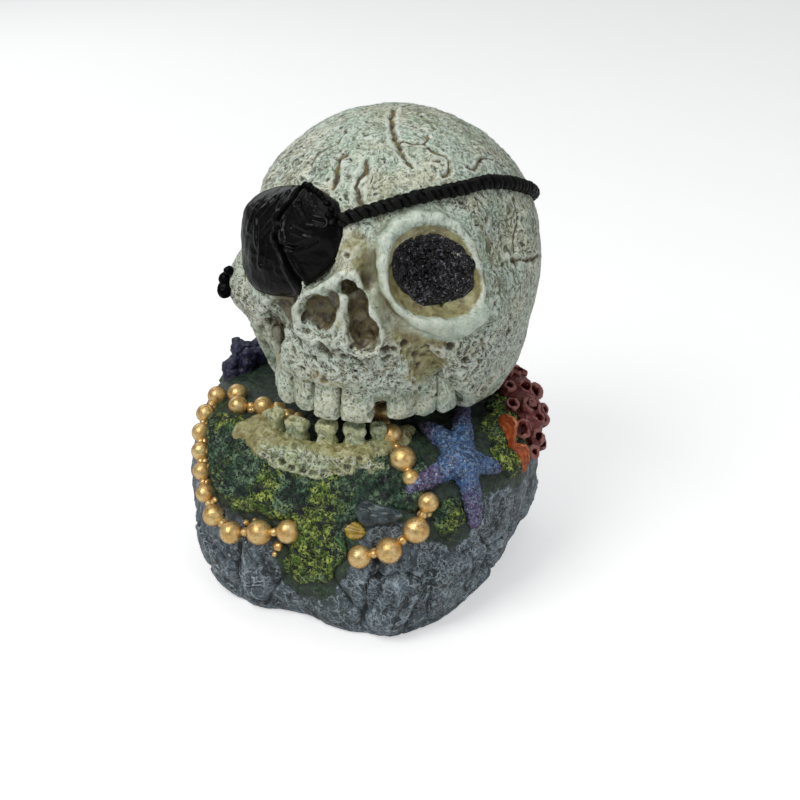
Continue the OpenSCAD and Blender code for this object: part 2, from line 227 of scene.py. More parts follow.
def surface_nets(clay):
    """Quads round the zero surface."""
    field = clay.field
    inside = field < 0
    count = np.zeros([n - 1 for n in field.shape], np.int8)
    for corner in CORNERS:
        count += inside[tuple(slice(c, n - 1 + c) for c, n in zip(corner, field.shape))]
    active = (count > 0) & (count < 8)
    index = np.full(active.shape, -1, np.int64)
    cell = np.argwhere(active)
    index[active] = np.arange(len(cell))
    # each vertex is the mean of the crossings on its cell's edges
    total = np.zeros((len(cell), 3))
    crossings = np.zeros(len(cell))
    for axis in range(3):
        others = [k for k in range(3) if k != axis]
        for sides in product((0, 1), repeat=2):
            start = np.zeros(3, int)
            start[others] = sides
            end = start.copy()
            end[axis] = 1
            value0 = field[tuple((cell + start).T)]
            value1 = field[tuple((cell + end).T)]
            crossed = (value0 < 0) != (value1 < 0)
            place = start + np.zeros((len(cell), 3))
            place[:, axis] = np.where(crossed, value0 / np.where(crossed, value0 - value1, 1), 0)
            total += place * crossed[:, None]
            crossings += crossed
    points = clay.low + clay.step * (cell + total / crossings[:, None])
    faces = []
    for axis in range(3):
        side1, side2 = (axis + 1) % 3, (axis + 2) % 3
        here, there = [slice(1, -1)] * 3, [slice(1, -1)] * 3
        here[axis] = slice(0, field.shape[axis] - 1)
        there[axis] = slice(1, field.shape[axis])
        before, after = inside[tuple(here)], inside[tuple(there)]
        base = np.array([1, 1, 1])
        base[axis] = 0
        for flip, crossed in ((False, before & ~after), (True, after & ~before)):
            edge = np.argwhere(crossed) + base
            quad = []
            for shift1, shift2 in ((0, 0), (-1, 0), (-1, -1), (0, -1)):
                near = edge.copy()
                near[:, side1] += shift1
                near[:, side2] += shift2
                quad.append(index[tuple(near.T)])
            quad = np.stack(quad, 1)
            faces.append(quad[:, ::-1] if flip else quad)
    return points, np.concatenate(faces)


def smooth_mesh(points, faces, times, amount):
    """Laplacian smoothing over quad edges."""
    start = np.concatenate([faces[:, k] for k in range(4)])
    end = np.concatenate([faces[:, (k + 1) % 4] for k in range(4)])
    n = len(points)
    degree = np.bincount(start, minlength=n) + np.bincount(end, minlength=n)
    for _ in range(times):
        total = np.stack([np.bincount(start, points[end, k], n)
                          + np.bincount(end, points[start, k], n) for k in range(3)], -1)
        points = points + amount * (total / np.maximum(degree, 1)[:, None] - points)
    return points


def surface(clay, ease=.4):
    """Net of the clay, pulled back onto the zero surface and eased once."""
    points, faces = surface_nets(clay)
    slopes = [np.gradient(clay.field, clay.step, axis=k) for k in range(3)]
    value = clay.sample(clay.field, points)
    slope = np.stack([clay.sample(s, points) for s in slopes], -1)
    move = value / np.maximum((slope ** 2).sum(-1), .05)
    points = points - np.clip(move, -clay.step, clay.step)[:, None] * slope * .8
    return smooth_mesh(points, faces, 1, ease), faces


def normals(points, faces):
    a, b, c, d = [points[faces[:, k]] for k in range(4)]
    across = np.cross(c - a, d - b)
    total = np.stack([sum(np.bincount(faces[:, k], across[:, j], len(points)) for k in range(4))
                      for j in range(3)], -1)
    return total / np.maximum(np.linalg.norm(total, axis=1, keepdims=True), 1e-9)


def cavity(points, faces, times=6):
    """Positive in hollows, negative on ridges: mm of height against the smoothed shape."""
    smooth = smooth_mesh(points, faces, times, .7)
    return ((smooth - points) * normals(points, faces)).sum(-1)


# ------------------------------------------------------------------ meshes into Blender
MATERIALS = {}


def add_look(node, body, material, points, faces, slot=None, **attributes):
    """Adds the mesh that replaces a frame node. faces: an array, or a list of quads and triangles."""
    if isinstance(faces, np.ndarray):
        faces = [faces]
    mesh = bpy.data.meshes.new(node + "_look")
    coords = ((np.asarray(points) + OFFSET) * MM).astype(np.float32)
    mesh.vertices.add(len(coords))
    mesh.vertices.foreach_set("co", coords.ravel())
    corners = np.concatenate([f.ravel() for f in faces]).astype(np.int32)
    mesh.loops.add(len(corners))
    mesh.loops.foreach_set("vertex_index", corners)
    sizes = np.concatenate([np.full(len(f), f.shape[1]) for f in faces])
    starts = np.concatenate([[0], np.cumsum(sizes)[:-1]]).astype(np.int32)
    mesh.polygons.add(len(sizes))
    mesh.polygons.foreach_set("loop_start", starts)
    mesh.update(calc_edges=True)
    mesh.validate()
    for name, values in attributes.items():
        layer = mesh.attributes.new(name, "FLOAT", "POINT")
        layer.data.foreach_set("value", np.array(np.broadcast_to(values, len(coords)), np.float32))
    mesh.polygons.foreach_set("use_smooth", np.full(len(mesh.polygons), True))
    thing = bpy.data.objects.new(node + "_look", mesh)
    bpy.context.scene.collection.objects.link(thing)
    mesh.materials.append(MATERIALS[material])
    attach(thing, body)
    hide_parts(node)


def sheet_solid(top, bottom, keep):
    """Closed skin from two point grids and a mask of the cells to keep; also the points used."""
    rows, cols = top.shape[:2]
    count = rows * cols
    index = np.arange(count).reshape(rows, cols)
    quads = np.stack([index[:-1, :-1], index[1:, :-1], index[1:, 1:], index[:-1, 1:]], -1)[keep]
    edges = np.concatenate([np.stack([quads[:, k], quads[:, (k + 1) % 4]], 1) for k in range(4)])
    key = edges[:, 0].astype(np.int64) * count + edges[:, 1]
    reverse = edges[:, 1].astype(np.int64) * count + edges[:, 0]
    start, end = edges[~np.isin(key, reverse)].T
    side = np.stack([end, start, start + count, end + count], 1)
    points = np.concatenate([top.reshape(-1, 3), bottom.reshape(-1, 3)])
    faces = np.concatenate([quads, quads[:, ::-1] + count, side])
    used = np.unique(faces)
    new = np.full(len(points), -1)
    new[used] = np.arange(len(used))
    return points[used], new[faces], used


def polar_solid(top, bottom):
    """Closed skin from two polar grids (angles x radii x 3), whose first column is the middle."""
    turns = top.shape[0]
    m = top.shape[1] - 1
    below = turns * m
    points = np.concatenate([top[:, 1:].reshape(-1, 3), bottom[:, 1:].reshape(-1, 3),
                             top[:1, 0], bottom[:1, 0]])
    here = np.arange(turns) * m
    there = (np.arange(turns) + 1) % turns * m
    quads = np.concatenate([np.stack([here + k, here + k + 1, there + k + 1, there + k], 1)
                            for k in range(m - 1)])
    rim, next_rim = here + m - 1, there + m - 1
    side = np.stack([rim, rim + below, next_rim + below, next_rim], 1)
    fans = np.concatenate([
        np.stack([np.full(turns, 2 * below), here, there], 1),
        np.stack([np.full(turns, 2 * below + 1), there + below, here + below], 1)])
    return points, [np.concatenate([quads, quads[:, ::-1] + below, side]), fans]


def polar_grid(turns, radii):
    """Angles in degrees and shares of the radius, as two grids."""
    return np.meshgrid(np.arange(turns) * 360 / turns, radii, indexing="ij")


def circle_noise(degrees, radius, scale, seed):
    """Noise that closes on itself round a circle."""
    x, y = np.cos(rad(degrees)) * radius, np.sin(rad(degrees)) * radius
    return noise(np.stack([x, y, degrees * 0], -1), scale, seed)


def outline_radius(x, y, degrees):
    """Radius of the closed outline x, y at the given angles."""
    angles = np.degrees(np.arctan2(y, x))
    order = np.argsort(angles)
    angles = angles[order]
    turns = np.concatenate([angles - 360, angles, angles + 360])
    return np.interp(wrap(degrees), turns, np.tile(np.hypot(x, y)[order], 3))


def blob(center, radius, seed, rings=20, rough=.16, squash=(1, 1, 1)):
    """An uneven ball: points, quads and the triangles at its poles."""
    fall = (np.pi * np.arange(1, rings) / rings)[:, None]
    m = 2 * rings
    turn = 2 * np.pi * np.arange(m) / m
    out = np.stack([np.sin(fall) * np.cos(turn), np.sin(fall) * np.sin(turn),
                    np.cos(fall) + 0 * turn], -1).reshape(-1, 3)
    out = np.concatenate([out, [[0, 0, 1], [0, 0, -1]]])
    points = np.array(center) + out * radius * np.array(squash)
    points = points + (rough * radius * layered(points, radius * 1.1, 2, seed))[:, None] * out
    i = np.arange(m)
    j = (i + 1) % m
    quads = np.concatenate([np.stack([k * m + i, k * m + m + i, k * m + m + j, k * m + j], 1)
                            for k in range(rings - 2)])
    last = (rings - 2) * m
    poles = np.concatenate([np.stack([np.full(m, len(out) - 2), i, j], 1),
                            np.stack([np.full(m, len(out) - 1), last + j, last + i], 1)])
    return points, quads, poles


def add_blobs(node, body, material, blobs, tubes=(), slot=None):
    points, quads, triangles, count = [], [], [], 0
    for part in [*blobs, *tubes]:
        points.append(part[0])
        quads.append(part[1] + count)
        if len(part) == 3:
            triangles.append(part[2] + count)
        count += len(part[0])
    points, quads = np.concatenate(points), np.concatenate(quads)
    add_look(node, body, material, points, [quads, np.concatenate(triangles)], slot,
             cav=cavity(points, quads, 4))


# ------------------------------------------------------------------ the rock's surface
# A point on it is given by its bearing and its slope angle, from 0 at the top to 90 at the foot.
ROCK_HALF_X, ROCK_HALF_Y, ROCK_HEIGHT = 47.8, 43.2, 43.0
ROCK_X, ROCK_Y = 1.3, 1.0
# amount, bearing, width
LOBES = [(.08, -66, 17), (-.065, -100, 13), (.059, -125, 15), (.02, 35, 20), (.02, 115, 18),
         (-.015, 75, 16)]
FULLNESS = [(4.4, -5, 45), (7, 170, 60), (2, 80, 50), (-2, -95, 40)]
# bearing, depth, width
FLUTES = [(-118, 2.0, 3.4), (-73, 2.1, 3.2), (-152, 1.0, 4), (-33, .9, 4), (-8, .8, 4),
          (22, .9, 4), (58, 1.3, 4), (98, 1.4, 4), (133, 1.3, 4), (166, 1.2, 4)]


def bells(bearing, table, start=0):
    return sum((amount * bell(bearing, middle, width) for amount, middle, width in table), start)


def fullness(bearing):
    """Exponent of the profile: higher is squarer."""
    return bells(bearing, FULLNESS, 5)


def plan_radius(bearing):
    x, y = np.cos(rad(bearing)) / ROCK_HALF_X, np.sin(rad(bearing)) / ROCK_HALF_Y
    return 1 / np.sqrt(x ** 2 + y ** 2)


def rock_radius(bearing, z):
    right = bell(bearing, -2, 40)
    taper = 1 - (.114 + .239 * right) * np.exp(-z / (6.8 + 15.1 * right))
    dome = np.maximum(0, 1 - (z / ROCK_HEIGHT) ** 2) ** (1 / fullness(bearing))
    lobes = 1 + bells(bearing, LOBES) * (.35 + .65 * np.exp(-z / 16))
    return plan_radius(bearing) * dome * taper * lobes


def rock_normal(bearing, slope):
    full = fullness(bearing)
    out = full * np.sin(rad(slope)) ** (2 * (full - 1) / full) / plan_radius(bearing)
    up = 2 * np.cos(rad(slope)) / ROCK_HEIGHT
    size = np.hypot(out, up)
    return np.stack([out / size * np.cos(rad(bearing)), out / size * np.sin(rad(bearing)),
                     up / size], -1)


def rock_ring(bearing, radius, z):
    return np.stack([ROCK_X + radius * np.cos(rad(bearing)),
                     ROCK_Y + radius * np.sin(rad(bearing)), z], -1)


def rock_plain(bearing, slope):
    """Points of the uncarved rock."""
    bearing, slope = np.broadcast_arrays(np.asarray(bearing, float), np.asarray(slope, float))
    z = ROCK_HEIGHT * np.cos(rad(slope))
    return rock_ring(bearing, rock_radius(bearing, z), z)


def rock_at(bearing, slope, height):
    """One point at a height over the uncarved rock."""
    return rock_plain(bearing, slope) + height * rock_normal(bearing, slope)


def rock_relief(bearing, slope, points):
    """Height of the carved surface over the plain one: flutes, cracked blocks and grain."""
    low = rise(46, 66, slope)
    drift = 5 * noise(points, 15, 5) + 1.6 * noise(points, 5, 6)
    relief = 0
    for middle, depth, width in FLUTES:
        x = wrap(bearing - middle + drift) / width
        relief = relief - depth * low * (np.exp(-np.abs(x) ** 1.3) - .35 * hump(x - 1.8, 1.3))
    blocks = points * np.array([1, 1, .6]) + 2.2 * wobble(points, 8, 30)
    first, second, value = cells(blocks, 11, 40)
    border = second - first
    block = 1.5 * (value - .5) * rise(0.0, .20, border) - .75 * hump(border, .05)
    relief = relief + block * (.18 + .82 * low)
    grain = (.55 * layered(points, 9, 3, 50)
             + .62 * layered(points * np.array([1, 1, .7]), 3.2, 3, 60, ridged=True)
             + .22 * layered(points, 1.1, 2, 70))
    relief = relief + grain * (.25 + .75 * low)
    return relief * (1 - .6 * rise(82, 90, slope))


def carved_at(bearing, slope, height):
    """One point at a height over the carved rock."""
    plain = rock_plain(bearing, slope)
    return plain + (rock_relief(bearing, slope, plain) + height) * rock_normal(bearing, slope)


def mm_per_degree(bearing, slope):
    """Millimetres to a degree round the rock and down it."""
    def span(a, b):
        return np.linalg.norm(rock_plain(*a) - rock_plain(*b)) / 4
    return (span((bearing + 2, slope), (bearing - 2, slope)),
            span((bearing, slope + 2), (bearing, slope - 2)))


def arc_length(points):
    return np.concatenate([[0], np.cumsum(np.linalg.norm(np.diff(points, axis=0), axis=1))])


# ------------------------------------------------------------------ the skull's surface
# A point on it is given by its bearing and its drop, the angle from the crown.
SKULL_CENTER = np.array([4.5, 7, 79.0])


def skull_dir(bearing, drop):
    turn, fall = np.broadcast_arrays(rad(np.asarray(bearing, float)), rad(np.asarray(drop, float)))
    return np.stack([np.sin(fall) * np.cos(turn), np.sin(fall) * np.sin(turn), np.cos(fall)], -1)


def skull_radius(out):
    above = out[..., 2] > 0
    power, tall = np.where(above, 2.0, 2.6), np.where(above, 34.2, 38.0)
    level = ((out[..., 0] / 35) ** 2 + (out[..., 1] / 38) ** 2) ** (power / 2)
    return (level + np.abs(out[..., 2] / tall) ** power) ** (-1 / power)


def skull_at(bearing, drop, height=0.0):
    out = skull_dir(bearing, drop)
    return SKULL_CENTER + out * (skull_radius(out) + height)[..., None]


def skull_path(path, height=0.0):
    return [skull_at(bearing, drop, height) for bearing, drop in path]


# paths as (bearing, drop)
EYE_RING = [
    (-74, 64.5), (-69.5, 59.5), (-62, 57), (-53, 57.8), (-46, 61.8), (-41.8, 68.5), (-40.0, 76.5),
    (-39.2, 85), (-40, 91.5), (-45, 95.6), (-54, 94.8), (-62.5, 90.6), (-68.6, 85), (-72.6, 79.2),
    (-74.4, 72), (-74, 64.5)]
NOSE_LEFT = [(-88, 76.5), (-92, 79.3), (-98.8, 83.5), (-103.6, 90.5), (-103.2, 96.8),
             (-97.5, 99.8), (-91, 98.5), (-87, 99.5)]
NOSE_RIGHT = [(-84.5, 75.8), (-80.8, 82.5), (-77.6, 89), (-75.2, 95), (-76.6, 100.5),
              (-81.5, 103), (-86, 101)]
SEPTUM = [(-87.3, 83.5), (-87.6, 88), (-89.5, 93.5), (-92.5, 98)]
# path, width
CRACKS = [
    ([(88, 3), (-72, 9), (-70, 16.5), (-65.5, 25.5), (-64, 32), (-59, 38)], .75),
    ([(-65, 24), (-55, 25.5), (-46.5, 26), (-35, 23)], .55),
    ([(-46, 26), (-40, 29.5), (-35, 34.5), (-38.5, 40), (-43, 42)], .6),
    ([(9.5, 10.5), (-19.5, 20.5)], .4),
    ([(-104, 33), (-104, 36), (-101.5, 41.5), (-101, 47.5)], .7),
    ([(-88, 33), (-87, 38.5), (-90, 45.5), (-84, 52.5)], .75),
    ([(-24, 41), (-21, 43), (-6.5, 41), (9.5, 49.5)], .5),
    ([(-82, 33), (-80, 36), (-77, 35), (-78, 32.5), (-81, 32.5)], .4),
    ([(-4.5, 60), (-6, 66), (-12.5, 74), (-14, 78)], .5),
    ([(-16.5, 81), (-5, 84), (6, 88.5)], .65),
    ([(-30, 52), (-27, 60), (-31, 66)], .35),
    ([(-16, 92), (-24, 99), (-20, 108)], .4),
    ([(-38, 104), (-34, 112), (-40, 120)], .45),
    ([(88, 3), (75, 14), (82, 26), (68, 36), (74, 48), (64, 60)], .7),
    ([(82, 26), (100, 34), (112, 33), (124, 44)], .55),
    ([(74, 48), (88, 58), (84, 70)], .5),
    ([(150, 24), (140, 36), (148, 46), (138, 58)], .6),
    ([(30, 40), (38, 52), (30, 64), (40, 74)], .6),
    ([(-160, 30), (-150, 38), (-158, 46)], .5),
    ([(180, 58), (170, 70), (178, 82)], .5),
    ([(110, 78), (96, 84), (88, 96), (94, 106)], .55),
    ([(30, 92), (44, 98), (52, 110)], .5),
    ([(-125, 20), (-118, 28), (-126, 38), (-120, 44)], .4)]
# round holes in the lower face: bearing, drop, radius
FACE_HOLES = [
    (-95.5, 102.9, 1.9), (-92.2, 104.2, 1.5), (-97.6, 101.8, 1.2), (-85, 104.8, 1.3),
    (-87.5, 106.8, 1.0), (-82.5, 107.5, 1.1), (-76, 104, 1.2), (-70.5, 101.5, 1.0),
    (-104, 103, 1.1), (-104.5, 98, .8), (-66, 103.5, .9), (-99, 112, .9), (-79, 113, .9),
    (-86, 112, 1.0), (-84, 115.5, .9), (-81.2, 116.8, .8), (-87.4, 115.2, .9), (-79.5, 114.6, .7),
    (-88.6, 117.5, .7), (-103, 115, .9), (-71, 111, .8), (-97.5, 107.5, .8)]
# openings of the nose: bearing, drop, height, radii, blend
NOSE_OPENINGS = [
    (-96.4, 90.4, 1.5, (4.7, 4.4, 4.7), .6), (-91.6, 85.6, 2.2, (2.5, 3.6, 3.2), .6),
    (-94.5, 94.0, 2.2, (4.0, 3.6, 2.6), .6), (-83.0, 87.2, 1.6, (2.7, 4.4, 5.4), .6),
    (-81.0, 94.6, 1.6, (3.7, 4.2, 4.8), .6), (-86.0, 80.4, 1.4, (2.3, 4.6, 2.5), .5)]
# thin struts behind the jaw: start, end, radius, radius at the end, blend
STRUTS = [
    ((-128, 108), (-129, 128), .9, .9 * .8, .8), ((-137, 112), (-138, 131), 1.1, 1.1 * .8, .8),
    ((-146, 114), (-144, 128), 1.4, 1.4 * .8, .8), ((-122, 107), (-124, 122), .7, .7 * .8, .8),
    ((-44, 112), (-42, 126), 1.0, 1.0, 1.2), ((-52, 108), (-50, 118), .8, .8, 1.2)]
# x, y, width, height of the lower end
UPPER_TEETH = [
    (-13.6, -18.4, 4.6, 51.5), (-11.2, -22.7, 5.3, 50.9), (-6.1, -24.9, 5.5, 50.7),
    (-.2, -26.4, 6.3, 50.2), (6.9, -26.1, 7.9, 50.4), (15.4, -21.4, 6.6, 50.3),
    (20.0, -17.9, 5.3, 50.2), (23.6, -14.2, 5.0, 50.0), (25.6, -9.6, 4.4, 53.0)]
# the gum's line in plan
ARCH = [(-12.2, -9), (-13.8, -14), (-13.4, -18.2), (-10.8, -22.0), (-6.0, -24.0), (-.2, -25.5),
        (6.9, -25.3), (11.6, -23.4), (15.4, -20.8), (20.0, -17.2), (23.6, -13.6), (25.6, -9.2)]

EYE_CENTER = skull_at(-57, 76)
EYE_OUT = unit(EYE_CENTER - SKULL_CENTER)
EYE_SIDE = unit(np.cross([0, 0, 1], EYE_OUT))
EYE_UP = np.cross(EYE_OUT, EYE_SIDE)


def tooth_gaps():
    """Places in plan between neighbouring upper teeth."""
    for (x0, y0, w0, _), (x1, y1, w1, _) in zip(UPPER_TEETH[:-1], UPPER_TEETH[1:]):
        share = w0 / (w0 + w1)
        yield x0 + (x1 - x0) * share, y0 + (y1 - y0) * share


def sculpt_skull():
    """The skull's clay and the field of the hollow in it."""
    bone = Clay((-36, -38, 46.5), (45, 49.5, 117), .5)
    x, y, z = [bone.points[..., k] for k in range(3)]

    def ellipsoid(bearing, drop, height, radii, axes=None):
        return bone.ellipsoid(skull_at(bearing, drop, height), radii, axes)

    def rod(start, end, *radii):
        """A rod between two places given as (bearing, drop, height)."""
        return bone.rod(skull_at(*start), skull_at(*end), *radii)

    def chain(path, height, radii, blend=.6):
        return bone.chain(skull_path(path, height), radii, blend)

    offset = bone.points - SKULL_CENTER.astype(np.float32)
    reach = np.linalg.norm(offset, axis=-1)
    out = offset / np.maximum(reach, 1e-3)[..., None]
    radius = skull_radius(out).astype(np.float32)
    bone.add((reach - radius) * .96)
    bone.add(bone.ellipsoid((4.5, 8, 57), (31.3, 31.5, 20)), 3)
    # upper jaw mass, fuller on the covered side
    bone.add(bone.ellipsoid((3.6, -8, 64), (20.3, 20.6, 16)), 3.0)
    bone.add(bone.ellipsoid((-4.5, -11.5, 61), (11, 12.2, 11)), 2.6)
    # cheek bones
    bone.add(ellipsoid(-147, 99, -4.6, (8.5, 8.5, 8)), 2.5)
    bone.add(rod((-150, 90, -4), (-120, 94, -4.2), 6.0, 4.5), 2.5)
    bone.add(rod((-33, 99, -4.5), (-52, 98, -3.6), 6.0, 4.6), 2.5)
    # brow and bridge of the nose
    bone.add(rod((-86, 60, -4.0), (-86.5, 74, -1.7), 5.0, 3.6), 3)
    bone.add(rod((-100, 60, -4.0), (-140, 66, -4.0), 4.6, 4.6), 4)
    bone.add(ellipsoid(-89.5, 91, -4.4, (11.5, 6.2, 10.5)), 2.5)
    # hollows beside the upper jaw, right and left
    bone.cut(chain([(-76.5, 80), (-73.5, 87), (-69, 95), (-62.5, 104.5), (-54.5, 117),
                    (-46.5, 134)], 1.5, [1.2, 1.9, 2.8, 3.8, 4.8, 5.6]), 1.5)
    bone.cut(chain([(-107, 88), (-113.5, 95), (-121, 104.5), (-127.5, 115), (-133, 131)], 1.0,
                   [2.4, 3.6, 4.8, 6.2, 7.2]), 1.0)
    bone.cut(ellipsoid(-98, 73, 2.4, (5.2, 4.4, 7)), 2.0)
    bone.cut(ellipsoid(-79.5, 72, 2.2, (2.6, 3.4, 6)), 1.6)
    # temples
    for bearing in (-20, 200):
        bone.cut(ellipsoid(bearing, 72, 11.5, (13, 13, 15)), 5)
    # open eye: raised ring, the fold under it, the groove below that, then the bowl
    bone.add(chain(EYE_RING, .25, [1.7, 1.7, 1.6, 1.5, 1.3, 1.2, 1.1, 1.1, 1.4, 1.8, 2.1, 2.1,
                                   1.8, 1.6, 1.6, 1.7], 1.0), .9)
    bone.add(chain([(-74, 76), (-71.5, 80.8), (-67.5, 85.5), (-62, 90.5), (-54.5, 94.6),
                    (-46.5, 96.2), (-40, 94.5), (-36, 90)], .45,
                   [1.5, 1.8, 2.1, 2.3, 2.4, 2.3, 1.9, 1.2], 1.0), .8)
    bone.cut(chain([(-66, 95), (-58, 101), (-49, 103), (-41, 101.5), (-35, 97)], 1.6,
                   [1.3, 1.7, 1.8, 1.7, 1.2]), 1.4)
    eye_axes = np.stack([EYE_SIDE, EYE_OUT, EYE_UP], 1)
    bone.cut(ellipsoid(-57, 75.6, 2.6, (10.6, 9.2, 10.4), eye_axes), 1.1)
    bone.cut(ellipsoid(-50.2, 82.0, 1.0, (7.6, 6.6, 6.6), eye_axes), 1.0)
    # nose: ridges, then the openings and the septum
    bone.add(chain(NOSE_LEFT, 1.5, [1.3, .95, .85, 1.0, 1.15, 1.1, .95, .9]), 1.3)
    bone.add(chain(NOSE_RIGHT, 1.5, [1.4, 1.0, .9, .95, 1.1, 1.05, .9]), 1.3)
    for bearing, drop, height, radii, blend in NOSE_OPENINGS:
        bone.cut(ellipsoid(bearing, drop, height, radii), blend)
    bone.add(chain(SEPTUM, .5, [.8, .75, .85, 1.1]), .6)
    for bearing, drop, size in FACE_HOLES:
        bone.cut(bone.ball(skull_at(bearing, drop, 1.6), size * 1.15), .5)
    for start, end, thick, end_thick, blend in STRUTS:
        bone.add(rod((*start, -2.4), (*end, -2.0), thick, end_thick), blend)
    # roots of the teeth and the grooves between them
    for tx, ty, width, _ in UPPER_TEETH:
        bone.add(bone.rod((tx, ty + 1.9, 57), (tx * .96, ty + 2.2, 63), width * .34, width * .2),
                 1.6)
    for gx, gy in tooth_gaps():
        side = unit(np.array([gx - 4, gy + 8.0]))
        bone.cut(bone.rod((gx + .9 * side[0], gy + .9 * side[1], 57),
                          (gx + .6 * side[0], gy + .6 * side[1], 63.5), 1.25, .45), .6)
    # hollow inside, open below, with a thicker wall at the face
    face = rise(.1, .75, -out[..., 1]) * rise(-.95, -.2, out[..., 2])
    hollow = bone.part(reach - (radius - 4.2 - 5.6 * face))
    hollow.add(bone.ellipsoid((4.5, 10, 52), (25.5, 25.5, 16)), 2)
    hollow.add(bone.ellipsoid((4.5, -4, 54), (14.5, 15.5, 9)), 3)
    bone.cut(hollow.field, .8)
    # level rim, higher over the hinge and over the teeth
    ragged = noise(bone.points[:, :, 0] * np.array([1, 1, 0]), 5, 3)[:, :, None]
    rim = 48.6 + 3.1 * np.exp(-(((x - 4.5) / 8.5) ** 4)) * (y > 24) + .35 * ragged
    rim = rim + 10.6 * np.exp(-(((x - 4.2) / 21.5) ** 6)) * (1 - rise(-13, -7, y))
    bone.cut(z - rim, .9 + 1.3 * rise(52, 58, rim))
    return bone, hollow.field


# ------------------------------------------------------------------ materials
# Colours are sRGB bytes; lengths are in mm. ramp(start, end, low, high) turns a signal smoothly
# from low to high. lay(cover, colour) paints over what is there.
def srgb(color):
    return tuple(((c / 255 + .055) / 1.055) ** 2.4 if c > 10 else c / 255 / 12.92 for c in color)


class Signal:
    """An output of a shader node; arithmetic on it adds math nodes."""
    def __init__(self, material, socket):
        self.material, self.socket = material, socket

    def __mul__(self, other):
        return self.material.math("MULTIPLY", self, other)

    def __add__(self, other):
        return self.material.math("ADD", self, other)

    def __rsub__(self, other):
        return self.material.math("SUBTRACT", other, self)

    def larger(self, other):
        return self.material.math("MAXIMUM", self, other)

    def ramp(self, start, end, low=0.0, high=1.0):
        inputs = {"Value": self, "From Min": start, "From Max": end, "To Min": low, "To Max": high}
        return self.material.node("ShaderNodeMapRange", inputs, interpolation_type="SMOOTHSTEP")


class Material:
    """A node material over object coordinates."""
    def __init__(self, name):
        material = bpy.data.materials.new(name)
        material.use_nodes = True
        self.tree = material.node_tree
        self.tree.nodes.clear()
        self.shader = self.tree.nodes.new("ShaderNodeBsdfPrincipled")
        output = self.tree.nodes.new("ShaderNodeOutputMaterial")
        self.tree.links.new(self.shader.outputs[0], output.inputs[0])
        self.place = self.node("ShaderNodeTexCoord", {}, "Object")
        self.normal = None
        self.color = None
        MATERIALS[name] = material

    def put(self, socket, value):
        if isinstance(value, Signal):
            self.tree.links.new(value.socket, socket)
        elif isinstance(value, tuple):
            alpha = (1.0,) if len(value) == 3 and socket.type == "RGBA" else ()
            socket.default_value = value + alpha
        else:
            socket.default_value = value

    def node(self, kind, inputs, output=0, **settings):
        node = self.tree.nodes.new(kind)
        for key, value in settings.items():
            setattr(node, key, value)
        for key, value in inputs.items():
            self.put(node.inputs[key], value)
        return Signal(self, node.outputs[output])

    def attribute(self, name):
        return self.node("ShaderNodeAttribute", {}, "Fac", attribute_name=name)

    def noise(self, mm, detail=3.0, rough=.55, distort=0.0, at=None):
        inputs = {"Vector": at or self.place, "Scale": 1000 / mm, "Detail": detail,
                  "Roughness": rough, "Distortion": distort}
        return self.node("ShaderNodeTexNoise", inputs)

    def jitter(self, amount, mm, **settings):
        """Noise round zero, to make an edge ragged."""
        return (self.noise(mm, **settings) + -.5) * amount

    def cells(self, mm, at, output="Distance", feature="F1"):
        inputs = {"Vector": at, "Scale": 1000 / mm}
        return self.node("ShaderNodeTexVoronoi", inputs, output, feature=feature)

    def borders(self, mm, warp):
        """Distance to the cell borders; warp is the (mm, amount) of the bending."""
        return self.cells(mm, self.warp(*warp), feature="DISTANCE_TO_EDGE")

    def math(self, kind, a, b=0.0):
        return self.node("ShaderNodeMath", {0: a, 1: b}, operation=kind)

    def vector(self, kind, inputs):
        return self.node("ShaderNodeVectorMath", inputs, operation=kind)

    def warp(self, mm, amount):
        """Object coordinates pushed about by noise mm across."""
        inputs = {"Vector": self.place, "Scale": 1000 / mm, "Detail": 2.0}
        push = self.node("ShaderNodeTexNoise", inputs, "Color")
        push = self.vector("SUBTRACT", {0: push, 1: (.5, .5, .5)})
        push = self.vector("SCALE", {0: push, "Scale": amount * .004})
        return self.vector("ADD", {0: self.place, 1: push})

    def stretch(self, x, y, z, at=None):
        return self.vector("MULTIPLY", {0: at or self.place, 1: (x, y, z)})

    def mix(self, share, a, b, decode=srgb):
        node = self.tree.nodes.new("ShaderNodeMix")
        node.data_type = "RGBA"
        self.put(node.inputs[0], share)
        for slot, color in ((6, a), (7, b)):
            self.put(node.inputs[slot], decode(color) if isinstance(color, tuple) else color)
        return Signal(self, node.outputs[2])

    def lay(self, cover, color):
        self.color = self.mix(cover, self.color, color)

    def bump(self, height, mm, strength):
        inputs = {"Height": height, "Distance": mm * MM, "Strength": strength}
        if self.normal is not None:
            inputs["Normal"] = self.normal
        self.normal = self.node("ShaderNodeBump", inputs)

    def finish(self, roughness, **settings):
        inputs = self.shader.inputs
        self.put(inputs["Base Color"], self.color)
        self.put(inputs["Roughness"], roughness)
        for key, value in settings.items():
            self.put(inputs[key.replace("_", " ")], value)
        if self.normal is not None:
            self.put(inputs["Normal"], self.normal)


